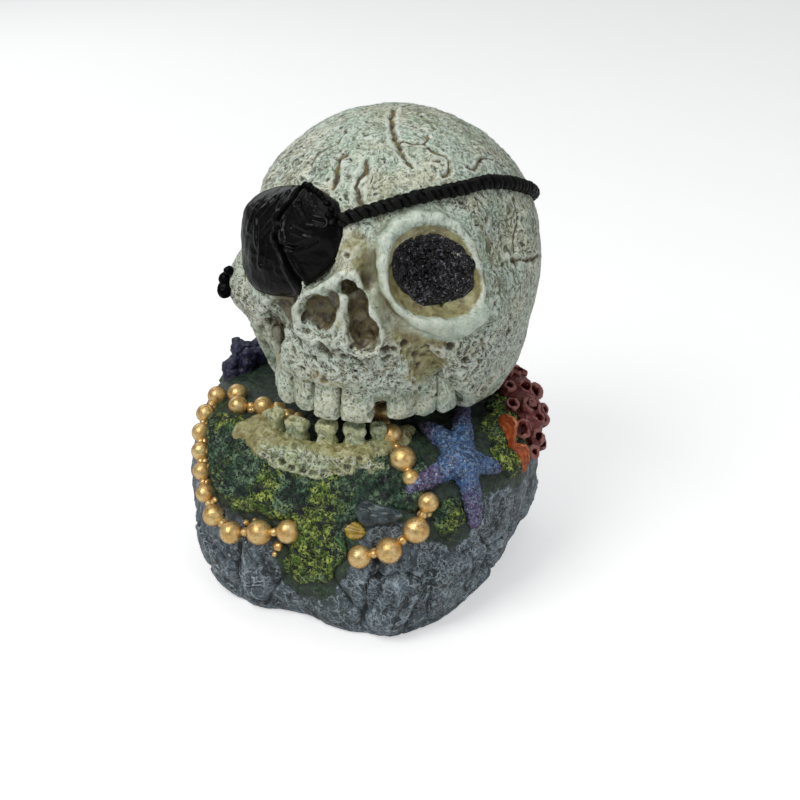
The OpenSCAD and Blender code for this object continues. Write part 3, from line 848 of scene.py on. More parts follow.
def bone_material(name, mint, ivory, patch, dry_brush_highlight, old):
    """Painted bone: pale ground, olive and brown washes with painted shade in the hollows, a
    dry-brush with painted highlights on the high spots.
    """
    m = Material(name)
    warped = m.warp(mm=5, amount=1.6)
    m.color = m.mix(m.noise(mm=13).ramp(.42, .6), mint, ivory)
    m.lay(m.noise(mm=7, detail=4, rough=.6, distort=.5).ramp(.50, .64)
          * m.attribute("dirt").ramp(.35, .95, .65, .12), patch)
    # streaky wash
    # the dirt value weights the washes and grain: stains, and on the skull painted shade just outside
    # the eye ring
    dirt = m.attribute("pits" if old else "dirt")
    unpale = 1.0 - m.attribute("pale") * .72
    streak = m.noise(mm=2.6, detail=5, rough=.62, distort=.6, at=m.stretch(1.0, 1.0, .55, warped))
    m.lay(streak.ramp(.48, .66) * unpale * (.8 if old else dirt.ramp(0.0, 1.0, .45, .95)),
          m.mix(dirt.ramp(.4, .95), (124, 134, 98), (142, 130, 86)))
    m.lay(m.noise(mm=9, rough=.6, distort=.8).ramp(.50, .68) * (.6 if old else .52),
          m.mix(dirt.ramp(.4, .95), (134, 142, 92), (150, 142, 92)))
    # scumbled grain
    grain = m.noise(mm=.8, detail=4, rough=.7, distort=.4, at=m.stretch(1.0, 1.0, .7, warped))
    coarse = m.noise(mm=1.5, detail=4, rough=.72, distort=1.2, at=m.stretch(.8, 1.25, .8, warped))
    m.lay(grain.ramp(.49, .60) * unpale * dirt.ramp(0.0, 1.0, .50, .95), (74, 76, 52))
    m.lay(coarse.ramp(.525, .60) * unpale * dirt.ramp(0.0, 1.0, .35, 1.0), (46, 44, 29))
    m.lay(grain.ramp(.47, .37) * .75, (242, 247, 238))
    # pale mint on the eye ring, with a painted highlight along the fold under the eye and on the nose
    # rims
    m.lay(m.attribute("pale") * m.noise(mm=2.4, detail=4, rough=.65).ramp(.38, .62, .60, .10),
          (192, 210, 190))
    # ochre glaze, which also paints shade in the eye bowl, round the ring and in the hollows
    ochre = m.attribute("ochre") + m.jitter(.9, mm=3.5)
    m.lay(ochre.ramp(.30, .85) * .82,
          m.mix(m.noise(mm=2.2).ramp(.4, .62), (176, 170, 110), (136, 120, 66)))
    # hollows: olive-brown wash with painted shade, darkest in the deepest
    hollow = m.attribute("cav")
    ragged = m.jitter(.22, mm=1.3, rough=.6)
    m.lay((hollow + ragged).ramp(.05, .34) * .80,
          m.mix(m.noise(mm=4, detail=2).ramp(.42, .6), (98, 96, 56), (94, 72, 42)))
    m.lay((hollow + ragged).ramp(.24, .62) * .85, (38, 30, 20))
    # brown: wash in the nose, with painted shade in the hollows beside the upper jaw and between the
    # teeth
    brown = m.attribute("brown") + m.jitter(1.1, mm=1.7, detail=4, rough=.65)
    m.lay(brown.ramp(.25, .80) * .88,
          m.mix(m.noise(mm=2.0).ramp(.44, .58), (104, 92, 54), (58, 42, 24)))
    # fine pits, dark with wash and painted shade, with a painted highlight on their rims: cell size,
    # pit radius in cells, share of the cells
    density = m.attribute("pits")
    pits = None
    for mm, size, share in ((.95, .36, 1.0), (1.75, .30, .6)):
        away = m.cells(mm, warped)
        pick = m.node("ShaderNodeSeparateColor", {0: m.cells(mm, warped, "Color")})
        chosen = m.math("LESS_THAN", pick, density * share) * unpale
        chosen = chosen * m.attribute("brown").larger(m.attribute("ochre")).ramp(.6, .2)
        pit = away.ramp(size, size * .4) * chosen
        rim = away.ramp(size * 1.5, size * 1.15) * away.ramp(size * .7, size)
        m.lay(rim * (chosen * .55), (230, 236, 224))
        pits = pit if pits is None else pits.larger(pit)
    m.lay(pits * .86, (44, 36, 24))
    crack = m.attribute("crack") + m.jitter(1.5, mm=1.3)
    m.lay(crack.ramp(.30, .82) * .92,
          m.mix(m.noise(mm=2, detail=2).ramp(.40, .60), (126, 108, 60), (62, 46, 26)))
    # dry-brush and painted highlight on the high spots
    high = (hollow * -1.0 + m.jitter(.24, mm=.9)).ramp(.02, .20)
    m.lay(high * m.attribute("brown").ramp(.75, .25, .25, 1.0) * .58, dry_brush_highlight)
    m.bump(m.noise(mm=.75, detail=4, rough=.7) * .5 + streak * .8, mm=.28, strength=.75)
    m.bump(pits * -1.0, mm=.30, strength=.9)
    m.finish(m.noise(mm=3).ramp(.3, .7, .30, .50), Specular_IOR_Level=.5, Coat_Weight=.18,
             Coat_Roughness=.25)


def slate_material():
    m = Material("slate_resin")
    warped = m.warp(mm=7, amount=2.5)
    m.color = m.mix(m.noise(mm=8, detail=4, rough=.6, distort=.5, at=warped).ramp(.36, .64),
                    (34, 44, 50), (82, 99, 110))
    m.lay(m.noise(mm=3.0, detail=5, rough=.70).ramp(.47, .58) * .82, (14, 18, 21))
    m.lay(m.noise(mm=14).ramp(.5, .66) * .45, (70, 84, 74))
    # a broken web of pale lines
    hollow = m.attribute("cav")
    web_zone = m.attribute("web")
    wide = m.borders(mm=3.6, warp=(2.6, 2.2))
    narrow = m.borders(mm=1.7, warp=(1.6, 1.2))
    gate = m.noise(mm=5.5, rough=.6).ramp(.40, .56)
    broken = m.noise(mm=1.1, rough=.7).ramp(.36, .56)
    veins = m.borders(mm=9.0, warp=(6, 7)).ramp(.040, .008)
    veins = veins * m.noise(mm=8, detail=2).ramp(.36, .50)
    web = wide.ramp(.070, .012).larger(narrow.ramp(.10, .015) * .7)
    web = (web * gate * web_zone * broken).larger(veins * broken)
    # dry-brush and painted highlight on the edges, with painted glints (sparks) on the brightest
    dry_brush_highlight = m.noise(mm=1.1, detail=5, rough=.76, distort=.6, at=m.stretch(1, 1, .7))
    band = m.noise(mm=7, rough=.65).ramp(.42, .60)
    high = (hollow * -.8 + (dry_brush_highlight + -.5) * 2.6).ramp(.10, .46)
    high = high * band.larger(hollow.ramp(-.10, -.35))
    high = high * m.noise(mm=1.9, detail=5, rough=.72, distort=.4).ramp(.42, .56, .12, 1.0)
    m.lay(high * .80, (124, 144, 158))
    sparks = m.noise(mm=1.2, detail=5, rough=.78, distort=.6).ramp(.50, .60)
    m.lay(high * sparks * .85, (178, 194, 204))
    m.lay(web * .90, (188, 202, 210))
    wisp = m.noise(mm=3.4, detail=5, rough=.66, distort=.8, at=warped) + -.5
    wisp = m.math("ABSOLUTE", wisp).ramp(.035, 0.0) * broken
    m.lay(wisp * (m.noise(mm=9, detail=2).ramp(.40, .54) * .85), (176, 192, 202))
    # painted shade in the hollows
    m.lay(hollow.ramp(.10, .55) * .85, (14, 18, 19))
    # dark green wash over the deck
    deck = (m.attribute("deck") + m.jitter(.9, mm=5)).ramp(.42, .62)
    green = m.mix(m.noise(mm=1.5, detail=4, rough=.65).ramp(.42, .62), (18, 32, 25), (42, 62, 42))
    net = m.borders(mm=1.25, warp=(1.0, .8)).ramp(.14, .03)
    net = net * m.noise(mm=2.6, rough=.6).ramp(.44, .60)
    green = m.mix(net * .75, green, (88, 122, 78))
    m.lay(deck * .92, green)
    m.bump(net * deck, mm=.30, strength=.8)
    gilt = (m.attribute("gilt") + m.jitter(1.1, mm=1.2)).ramp(.50, .72)
    m.lay(gilt, m.mix(m.noise(mm=.8), (150, 108, 58), (198, 152, 92)))
    m.bump(m.noise(mm=1.6, detail=5, rough=.66) * .8 + dry_brush_highlight * .35, mm=.45, strength=.8)
    m.bump(web, mm=.12, strength=.6)
    m.finish(m.noise(mm=2.5).ramp(.3, .7, .34, .56), Coat_Weight=.15, Coat_Roughness=.3)


def moss_material():
    """Dark ground under a net of green threads, yellower where the attribute yel is high; the
    threads' colour also lies on the ridges as a painted highlight, and painted shade darkens the
    hollows.
    """
    m = Material("moss_resin")
    m.color = m.mix(m.noise(mm=2.6).ramp(.40, .62), (8, 20, 18), (22, 44, 32))
    yellow = m.attribute("yel")
    wide = m.borders(mm=1.5, warp=(1.2, 1.0))
    narrow = m.borders(mm=.95, warp=(.9, .6))
    wide_gate = m.noise(mm=2.4, rough=.6).ramp(.42, .53)
    narrow_gate = m.noise(mm=1.9, rough=.6).ramp(.46, .58)
    threads = (wide.ramp(.17, .07) * wide_gate).larger(narrow.ramp(.13, .05) * narrow_gate * .85)
    threads = threads * m.noise(mm=.9, rough=.7).ramp(.36, .50, .30, 1.0)
    # the threads' colour also on the ridges: painted highlight
    ridge_highlight = m.attribute("cav") * -1.0 + m.jitter(.6, mm=.8, rough=.7)
    threads = threads.larger(ridge_highlight.ramp(.24, .42) * .7)
    green = m.mix(m.noise(mm=4, detail=2).ramp(.4, .6), (60, 100, 72), (136, 168, 132))
    lime = m.mix(m.noise(mm=1.8, detail=2).ramp(.4, .6), (116, 150, 54), (194, 212, 104))
    m.lay(threads, m.mix((yellow + m.jitter(.8, mm=2.2)).ramp(.44, .78), green, lime))
    # painted shade in the hollows
    m.lay(m.attribute("cav").ramp(.08, .40) * .7, (10, 18, 15))
    m.bump(threads * 1.0 + m.noise(mm=.8) * .5, mm=.30, strength=.8)
    m.finish(.5, Specular_IOR_Level=.4, Coat_Weight=.08, Coat_Roughness=.3)


def gilt_material():
    m = Material("gilt_paint")
    m.color = m.mix(m.noise(mm=2.2, rough=.6).ramp(.36, .66), (236, 190, 118), (255, 226, 160))
    m.lay(m.noise(mm=.8, detail=4, rough=.7).ramp(.52, .68) * .5, (158, 110, 64))
    # painted shade in the crevices
    m.lay(m.attribute("cav").ramp(.03, .22) * .8, (104, 64, 32))
    # painted shade at the grazing edges, darker where the surface turns away from the view
    grazing_shade = m.node("ShaderNodeLayerWeight", {"Blend": .5}, 1)
    m.lay(grazing_shade.ramp(.42, .95, 0.0, .80), (112, 72, 34))
    m.bump(m.noise(mm=.7, detail=4, rough=.65), mm=.16, strength=.8)
    m.finish(m.noise(mm=1.1).ramp(.3, .7, .24, .38), Metallic=.7, Coat_Weight=.2,
             Coat_Roughness=.18)


def starfish_material():
    """Blue in the middle, violet at the arm ends, with pale specks."""
    m = Material("starfish_paint")
    arm = m.attribute("arm") + m.jitter(.7, mm=5, detail=2)
    m.color = m.mix(arm.ramp(.35, .75), (62, 104, 158), (104, 78, 128))
    m.lay(m.noise(mm=2.0).ramp(.5, .66) * .7, (44, 54, 86))
    specks = m.cells(.8, m.warp(mm=1.5, amount=.5)).ramp(.36, .14)
    specks = specks * m.noise(mm=2.0, detail=2).ramp(.34, .52)
    m.lay(m.noise(mm=.7, detail=4, rough=.72).ramp(.47, .57) * .9, (18, 20, 40))
    m.lay(m.noise(mm=.9, detail=4, rough=.72).ramp(.50, .40) * .6, (146, 178, 214))
    m.lay(specks * .9, (206, 220, 236))
    # painted shade in the hollows
    m.lay(m.attribute("cav").ramp(.04, .30) * .8, (30, 26, 58))
    m.bump(specks * .8 + m.noise(mm=.9, detail=4, rough=.65) * .9, mm=.4, strength=1.0)
    m.finish(.36, Coat_Weight=.25, Coat_Roughness=.25)


def plain_paint(name, first, second, dark, light, mm, rough, bump, coat, hollows=(.04, .35),
                **settings):
    """Two mottled tones, with painted shade in the hollows and, if light is given, a painted
    highlight brushed on the ridges.
    """
    m = Material(name)
    m.color = m.mix(m.noise(mm, detail=4, rough=.62).ramp(.38, .62), first, second)
    m.lay(m.noise(mm * .35, rough=.65).ramp(.52, .68) * .5, dark)
    # painted shade in the hollows
    m.lay(m.attribute("cav").ramp(*hollows) * .85, dark)
    # painted highlight on the ridges
    if light is not None:
        m.lay((m.attribute("cav") * -1.0 + m.jitter(.3, mm=.8)).ramp(.04, .24) * .6, light)
    m.bump(m.noise(mm * .4, detail=4, rough=.66), mm=bump, strength=.8)
    m.finish(m.noise(mm * .8).ramp(.3, .7, rough - .08, rough + .08), Coat_Weight=coat,
             Coat_Roughness=.25, **settings)


# name, two tones, dark (mottle, and painted shade in the hollows), light (painted highlight on the
# ridges), grain mm, roughness, bump mm, coat
PAINTS = [
    ("red_coral_paint", (108, 42, 44), (138, 64, 60), (44, 16, 18), (204, 142, 132),
     1.6, .40, .35, .12),
    ("orange_shell_paint", (160, 68, 30), (196, 98, 46), (92, 34, 16), (230, 150, 96),
     2.2, .36, .2, .3),
    ("blue_coral_paint", (26, 30, 54), (46, 42, 72), (12, 15, 26), (84, 92, 132),
     1.8, .45, .3, .12),
    ("wet_slate_paint", (26, 40, 42), (66, 84, 90), (12, 18, 18), (170, 186, 192),
     2.6, .26, .3, .5),
    ("yellow_shell_paint", (168, 134, 34), (206, 178, 70), (60, 50, 24), (228, 214, 140),
     2.6, .3, .2, .4),
    ("leaf_paint", (36, 84, 44), (70, 116, 58), (20, 42, 26), (150, 178, 96), 1.6, .32, .2, .3)]
# the same columns, for frame parts without a cavity attribute
FRAME_PAINTS = [
    ("black_tube_plastic", (22, 23, 24), (32, 33, 35), (14, 14, 15), None, 3.0, .42, .05, .1),
    ("bracket_resin", (48, 58, 60), (78, 90, 94), (26, 32, 33), (150, 160, 166),
     3.0, .45, .3, .1),
    ("lug_resin", (198, 208, 194), (214, 216, 200), (120, 118, 84), (232, 234, 222),
     2.4, .4, .25, .15)]
NO_HOLLOWS = (5, 6)   # limits no cavity value reaches


def black_gloss(name, shine):
    m = Material(name)
    m.color = m.mix(m.noise(mm=3, detail=4).ramp(.35, .65), (4, 4, 5), (12, 12, 13))
    scuffs = m.noise(mm=1.4, detail=5, rough=.7, distort=1.5, at=m.stretch(1, 1, 3))
    m.lay(scuffs.ramp(.60, .72) * (.4 * shine), (62, 60, 58))
    # painted highlight on the ridges and creases
    ridge_highlight = m.attribute("cav") * -1.0 + m.jitter(.2, mm=.7)
    m.lay(ridge_highlight.ramp(.14, .34) * (.26 * shine), (120, 118, 114))
    m.bump(m.noise(mm=4.5) * 1.2 + m.noise(mm=.9, detail=4, rough=.7) * .25, mm=.5, strength=.6)
    m.finish(m.noise(mm=2.2, detail=4, rough=.65).ramp(.36, .66, .16, .32),
             Specular_IOR_Level=.02 + .09 * shine, Coat_Weight=.01 + .06 * shine,
             Coat_Roughness=.10)


def black_grit():
    m = Material("black_grit")
    grains = m.cells(.75, m.warp(mm=1, amount=.4))
    m.color = m.mix(grains.ramp(.42, .12), (3, 3, 5), (16, 15, 20))
    # painted highlight on the grit's ridges
    ridge_highlight = m.attribute("cav") * -1.0 + m.jitter(.5, mm=.5)
    m.lay(ridge_highlight.ramp(.10, .34) * .7, (118, 116, 130))
    # bright flecks: painted glints on the grit
    m.lay(m.noise(mm=.95, detail=4, rough=.78, distort=1.0).ramp(.57, .62) * .9, (160, 160, 174))
    m.bump(grains * -.9 + m.noise(mm=.45) * .5, mm=.40, strength=1.0)
    m.finish(.17, Specular_IOR_Level=.5, Coat_Weight=.15, Coat_Roughness=.08)


def clear_tube():
    m = Material("clear_tube_plastic")
    m.color = m.mix(m.noise(mm=4).ramp(.4, .6), (214, 226, 226), (196, 210, 208))
    m.bump(m.noise(mm=2), mm=.05, strength=.5)
    m.finish(.12, Transmission_Weight=.75, IOR=1.45)


def make_materials():
    bone_material("bone_resin", mint=(208, 227, 208), ivory=(229, 231, 202),
                  patch=(172, 204, 180), dry_brush_highlight=(240, 247, 234), old=False)
    bone_material("old_bone_resin", mint=(176, 194, 146), ivory=(204, 198, 126),
                  patch=(150, 168, 120), dry_brush_highlight=(220, 222, 178), old=True)
    slate_material()
    moss_material()
    gilt_material()
    starfish_material()
    for paint in PAINTS:
        plain_paint(*paint)
    plain_paint("stainless", (176, 180, 182), (196, 198, 200), (120, 124, 126), None, mm=1.2,
                rough=.28, bump=.03, coat=0.0, hollows=NO_HOLLOWS, Metallic=1.0)
    for paint in FRAME_PAINTS:
        plain_paint(*paint, hollows=NO_HOLLOWS)
    black_gloss("black_gloss", shine=1.0)
    black_gloss("black_cord", shine=.25)
    black_grit()
    clear_tube()


# ------------------------------------------------------------------ skull shell
def path_distance(points, path):
    """Distance to a polyline, or 99 far away from it."""
    distance = np.full(len(points), 99.0)
    for a, b in zip(path[:-1], path[1:]):
        length = np.linalg.norm(b - a)
        near = np.where(np.linalg.norm(points - (a + b) / 2, axis=1) < length / 2 + 3.5)[0]
        if not len(near):
            continue
        offset = points[near] - a
        along = np.clip((offset @ (b - a)) / length ** 2, 0, 1)
        away = np.linalg.norm(offset - along[:, None] * (b - a), axis=1)
        distance[near] = np.minimum(distance[near], away)
    return distance


def ragged_path(path, step, sway, seed):
    """A path on the skull cut into short steps and pushed about by sway mm."""
    places = skull_path(path)
    points = []
    for a, b in zip(places[:-1], places[1:]):
        n = max(2, int(np.linalg.norm(b - a) / step))
        points += [a + (b - a) * i / n for i in range(n)]
    points = np.array(points + [places[-1]])
    out = unit(points + sway * wobble(points, 2.6, seed) - SKULL_CENTER)
    return SKULL_CENTER + out * skull_radius(out)[:, None]


def build_skull_shell():
    bone, hollow = sculpt_skull()
    points, faces = surface(bone, ease=.35)
    depth_in = bone.sample(hollow.astype(np.float32), points)
    out = unit(points - SKULL_CENTER)
    base = SKULL_CENTER + out * skull_radius(out)[:, None]
    bearing = np.degrees(np.arctan2(out[:, 1], out[:, 0]))
    drop = np.degrees(np.arccos(np.clip(out[:, 2], -1, 1)))
    relief = np.linalg.norm(points - SKULL_CENTER, axis=1) - skull_radius(out)

    def zone(middle, middle_drop, wide, tall):
        across = wrap(bearing - middle) * np.sin(rad(middle_drop)) / wide
        return np.exp(-(across ** 2 + ((drop - middle_drop) / tall) ** 2))

    eye_away = np.linalg.norm(base - EYE_CENTER, axis=1)
    ring = hump(eye_away - 13.4, 3.0) + .9 * zone(-54, 96, 15, 4.5)
    nose = np.maximum(zone(-96, 90.5, 7.5, 9), zone(-82, 90.5, 7.5, 13))
    jaw = np.clip(zone(-92, 106, 30, 12) * 1.3, 0, 1)
    cheek_right = zone(-33, 112, 22, 12)
    cheek_left = zone(-140, 98, 18, 9)
    height = .55 * layered(points, 13, 2, 200) * (1 - ring * .7)
    grain = (.20 * layered(points, 4.2, 3, 210)
             + .19 * layered(points * [1, 1, .6], 1.8, 2, 220, ridged=True))
    height += grain * (1 - .85 * np.clip(ring, 0, 1)) * (1 + .9 * jaw + .5 * cheek_right)
    # pits: scale, depth, share of the cells, seed
    for scale, depth, share, seed in (
            (3.3, 1.15, .62 * jaw + .26 * cheek_right + .10 * cheek_left, 300),
            (2.2, .85, .75 * jaw + .62 * cheek_right + .45 * cheek_left + .08, 310),
            (1.5, .5, .62 * jaw + .66 * cheek_right + .5 * cheek_left + .16, 320)):
        moved = points + .25 * scale * wobble(points, scale * .6, seed + 4)
        first, _, value = cells(moved, scale, seed)
        chosen = (value < share) * (1 - np.clip(ring * 1.2, 0, .97)) * (1 - .6 * nose)
        height -= depth * chosen * (1 - rise(.16, .42, first))
        height += .16 * depth * chosen * hump(first - .52, .10)
    # cracks, each with a slightly raised lip
    crack = np.zeros(len(points))
    for k, (path, width) in enumerate(CRACKS):
        away = path_distance(base, ragged_path(path, .9, .75, 400 + 9 * k))
        half = width * (.72 + .75 * noise(base, 2.6, 500 + k)).clip(.18, 1.3)
        crack = np.maximum(crack, hump(away, .68 * half + .12) * min(1, width / .5))
        height -= .95 * width * hump(away, .72 * half + .14)
        height += .36 * width * hump(away - 1.5 * half - .3, .55 * width)
    # scratched lines over the vault
    turned = points @ unit(np.array([[.5, .3, -.8], [.7, -.6, .2], [-.4, .7, .5]])).T
    scratch = rise(.62, .9, 1 - np.abs(noise(turned * [1, .28, 1], 2.4, 600)))
    height -= .16 * scratch * rise(85, 60, drop) * (1 - ring.clip(0, 1))
    points = points + (height * rise(1.0, 3.0, depth_in))[:, None] * normals(points, faces)
    # paint zones
    small = cavity(points, faces, 7)
    large = cavity(smooth_mesh(points, faces, 6, .6), faces, 30)
    # brown: wash in the nose openings, and painted shade in the hollows beside the upper jaw, under
    # the patch and in the groove under the eye
    brown = np.clip(
        rise(.9, -1.2, relief) * np.clip(1.5 * nose, 0, 1)
        + 1.1 * rise(1.2, -1.6, relief) * zone(-86, 81, 5, 5) + .95 * zone(-112, 94, 6.5, 6.5)
        + .95 * zone(-122.5, 107, 5.5, 7) + (.55 + .45 * rise(-.1, .15, large))
        * zone(-129, 123, 9, 11) + .7 * zone(-93.5, 103.6, 4.5, 2.6) + .6 * zone(-109, 91, 5, 6)
        + .5 * rise(.5, -2.6, relief) * zone(-66, 98, 12, 16), 0, 1)
    corner_away = np.linalg.norm(base - skull_at(-50.2, 82), axis=1)
    in_eye = np.maximum(rise(12.6, 11.2, eye_away), rise(9.4, 8.2, corner_away))
    in_eye = rise(1.0, .1, relief) * in_eye
    # pale: the eye ring's pale paint, with a painted highlight along the fold under the eye and on
    # the raised nose rims
    fold = skull_path([(-74, 76), (-71.5, 80.8), (-67.5, 85.5), (-62, 90.5), (-54.5, 95),
                       (-46.5, 97), (-40, 95)])
    fold = hump(path_distance(base, np.array(fold)), 2.2)
    ring_pale = .62 * ring * (1 - .8 * rise(-62, -46, bearing) * rise(94, 86, drop))
    pale = (ring_pale + .85 * fold) * (1 - in_eye) + .15 * rise(.5, 1.6, relief) * nose
    # dirt: where the washes lie heavier, on the jaw, cheeks and sides, with painted shade in the dip
    # just outside the eye ring
    dirt = (.35 + .5 * jaw + .6 * cheek_right + .5 * cheek_left + .5 * zone(-160, 45, 34, 24)
            + .35 * zone(-8, 75, 24, 22) + .2 * zone(90, 40, 60, 40)
            + .5 * hump(eye_away - 17.0, 1.7))
    # ochre: glaze in the eye bowl and on the nose bridge, which also paints shade round the ring, in
    # the groove under the eye, in the deeper hollows and on the inner side of the wall
    ochre = np.clip(
        .95 * in_eye + .34 * hump(eye_away - 16.6, 1.4) * rise(.6, -.2, relief)
        + .45 * zone(-82, 67, 8, 7) + .5 * rise(1.0, -1.8, relief) * zone(-64, 102, 14, 20)
        + .40 * zone(-88, 70, 12, 8) + .55 * rise(.15, .8, large) * rise(60, 78, drop)
        + .75 * zone(-104, 74, 5, 7) + .55 * zone(-58, 112, 5, 13) + .9 * rise(3.0, 1.0, depth_in)
        + .5 * zone(-90, 90, 7, 7) + .5 * zone(-132, 116, 14, 11) + .30 * jaw
        + .8 * zone(-93.5, 117, 5, 2.2) + .8 * zone(-62.5, 114.5, 3.2, 3)
        + .5 * zone(-99.5, 115, 2, 2.5) + .24 * cheek_right + .22 * zone(-18, 76, 24, 22), 0, 1)
    add_look("skull_shell", "skull", "bone_resin", points, faces,
             cav=small + .35 * np.clip(large, 0, 1.2), ochre=ochre, crack=crack, brown=brown,
             pale=np.clip(pale, 0, 1), dirt=np.clip(dirt, 0, 1),
             pits=.18 + .85 * jaw + .65 * cheek_right + .45 * cheek_left
             + .1 * zone(-60, 40, 30, 20))
    return bone


# ------------------------------------------------------------------ teeth and jaws
def worn_surface(clay, rough, seed, pits):
    """Surface roughened and pitted; pits as (scale, depth, share). Also gives the cavity."""
    points, faces = surface(clay)
    height = rough * (layered(points, 2.4, 3, seed)
                      + .5 * layered(points, .9, 2, seed + 5, ridged=True))
    for scale, depth, share in pits:
        moved = points + .2 * scale * wobble(points, scale, seed)
        first, _, value = cells(moved, scale, seed + 40)
        height = height - depth * (value < share) * (1 - rise(.15, .42, first))
    points = points + height[:, None] * normals(points, faces)
    return points, faces, cavity(points, faces, 7)


def arch_turn(x, y):
    return math.atan2(x - 3.5, -(y + 2))


def build_upper_teeth():
    clay = Clay((-24, -32, 47), (31, -3, 64), FINE)
    gum_radii = [2.2] + [2.7] * (len(ARCH) - 2) + [2.0]
    clay.add(clay.chain([(x, y + 2.7, 59.4) for x, y in ARCH], gum_radii, .8))
    top = 60.4
    for k, (x, y, width, bottom) in enumerate(UPPER_TEETH):
        turn = arch_turn(x, y)
        half_height = (top - bottom) / 2
        half_width = width * (.47 if k < 8 else .36)
        center = (x - .5 * math.sin(turn), y + 1.2 * math.cos(turn) + .6, bottom + half_height)
        tooth = clay.part()
        tooth.add(clay.box(center, (half_width, 2.6, half_height), 1.05, turn,
                           tilt=.08 * math.cos(k * 1.7), flare=-.05))
        tooth.add(clay.ellipsoid((x + .35 * math.sin(turn), y + .1, bottom + 3.4),
                                 (width * .42, 2.2, 3.3)), 1.0)
        tooth.add(clay.ellipsoid((x + .05 * math.sin(turn), y + .55, 60.6),
                                 (width * .40, 2.3, 3.9)), 1.1)
        tooth.cut(clay.ball((x - half_width * .2, y - 2.3, bottom + 5.6), .8), .4)
        clay.add(tooth.field, .16)
    # webs of gum between the crowns
    web = [(x + .8 * math.sin(arch_turn(x, y)) * -1, y + 1.9, 56.4) for x, y in ARCH]
    clay.add(clay.chain(web, [2.0] * len(ARCH), .6), .5)
    clay.add(clay.rod((9.6, -24.6, 58.9), (13.2, -23.6, 58.9), 2.1), .8)
    # the notch between the two front teeth on the right
    clay.cut(clay.rod((11.5, -27.5, 49.2), (10.9, -17, 49.8), 1.75, 1.9), .5)
    clay.cut(clay.rod((11.4, -27.5, 52.6), (10.8, -17, 52.6), 1.5, 1.6), .6)
    points, faces, hollow = worn_surface(clay, .20, 700, ((2.4, .5, .4), (1.5, .4, .45)))
    x, y, z = points.T
    gap = np.zeros(len(points))
    for gx, gy in tooth_gaps():
        gap = np.maximum(gap, hump(np.hypot(x - gx, y - gy - 1.2), .95))
    # the gaps between the teeth and their tops under the gum are darker: painted shade
    add_look("upper_teeth", "skull", "bone_resin", points, faces, cav=hollow * 1.15 + .12 * gap,
             ochre=.5 * rise(57.5, 60, z) + .3 * rise(.3, .7, noise(points, 5, 720)), crack=0,
             brown=np.clip(.85 * gap * rise(50.5, 53, z) + .35 * rise(58.5, 60.5, z), 0, 1),
             pale=.35 * rise(59, 54, z), dirt=.35, pits=.40)


# x, y, z, radius
JAW_LINE = [
    (-20.5, -15, 40.0, 2.6), (-19.8, -20.5, 39.9, 3.9), (-15.5, -25.8, 40.4, 3.7),
    (-8.5, -27.6, 39.9, 3.5), (-.5, -27.8, 40.0, 3.5), (5.5, -25.8, 40.4, 3.5),
    (11, -22.6, 40.8, 3.4), (14.4, -17.5, 41.2, 3.0), (15, -13, 41.4, 2.4)]
JAW_LIP = [(-20, -25.0, 39.0, 1.9), (-12, -29.6, 38.0, 1.7), (-2, -30.4, 37.8, 1.7),
           (6, -28.2, 38.4, 1.7), (12.5, -24.2, 38.8, 1.8)]
JAW_KNOBS = [(12.8, -23.6, 38.6, 2.3), (9.5, -26.2, 39.2, 1.9), (15.2, -19.6, 39.6, 2.0),
             (11.2, -27.6, 39.6, 1.9), (13.6, -27.2, 39.4, 1.8), (9.8, -27.8, 41.4, 1.5)]
JAW_HOLES = [
    (-9.8, -31.2, 39.4, .85), (-7.2, -31.6, 38.6, .8), (-4.6, -31.9, 38.9, .9),
    (-2.0, -31.9, 38.2, .8), (.8, -31.6, 38.9, .7), (-12.2, -30.4, 40.0, .75),
    (-.6, -31.2, 40.8, .6), (3.6, -30.8, 39.0, .7), (5.8, -29.6, 39.9, .8),
    (-14.6, -29.2, 38.8, .6), (-6.0, -31.2, 40.6, .6), (11.4, -27, 37.8, .7)]
# x, y, width, height of the upper end
LOWER_TEETH = [(-17.6, -19.4, 3.0, 44.6), (-14.2, -24.8, 3.6, 48.3), (-8.6, -25.8, 5.4, 47.2),
               (-.9, -26.6, 4.7, 48.2), (5.6, -25.4, 5.2, 47.9), (10.4, -22.8, 3.4, 47.6)]


def build_lower_jaw():
    clay = Clay((-29, -34, 33), (20, -8, 46.5), FINE)
    clay.add(clay.chain([j[:3] for j in JAW_LINE], [j[3] for j in JAW_LINE], 1.2))
    clay.add(clay.ellipsoid((-22.2, -23.2, 39.6), (3.4, 3.6, 4.0)), 1.6)
    clay.add(clay.chain([j[:3] for j in JAW_LIP], [j[3] for j in JAW_LIP], .8), 1.5)
    for *center, radius in JAW_KNOBS:
        clay.add(clay.ball(center, radius), .9)
    for *center, radius in JAW_HOLES:
        clay.cut(clay.ball(center, radius * 1.15), .3)
    points, faces, hollow = worn_surface(clay, .30, 1300, ((2.6, .55, .4), (1.6, .4, .5)))
    x, _, z = points.T
    add_look("lower_jaw", "base", "old_bone_resin", points, faces, cav=hollow * 1.1,
             ochre=np.clip(.30 + .7 * rise(-14, -20, x) + .4 * rise(41.5, 43.5, z), 0, 1),
             crack=0, pits=.6, brown=.25 * rise(.3, .8, noise(points, 4, 1310)), pale=0, dirt=.6)


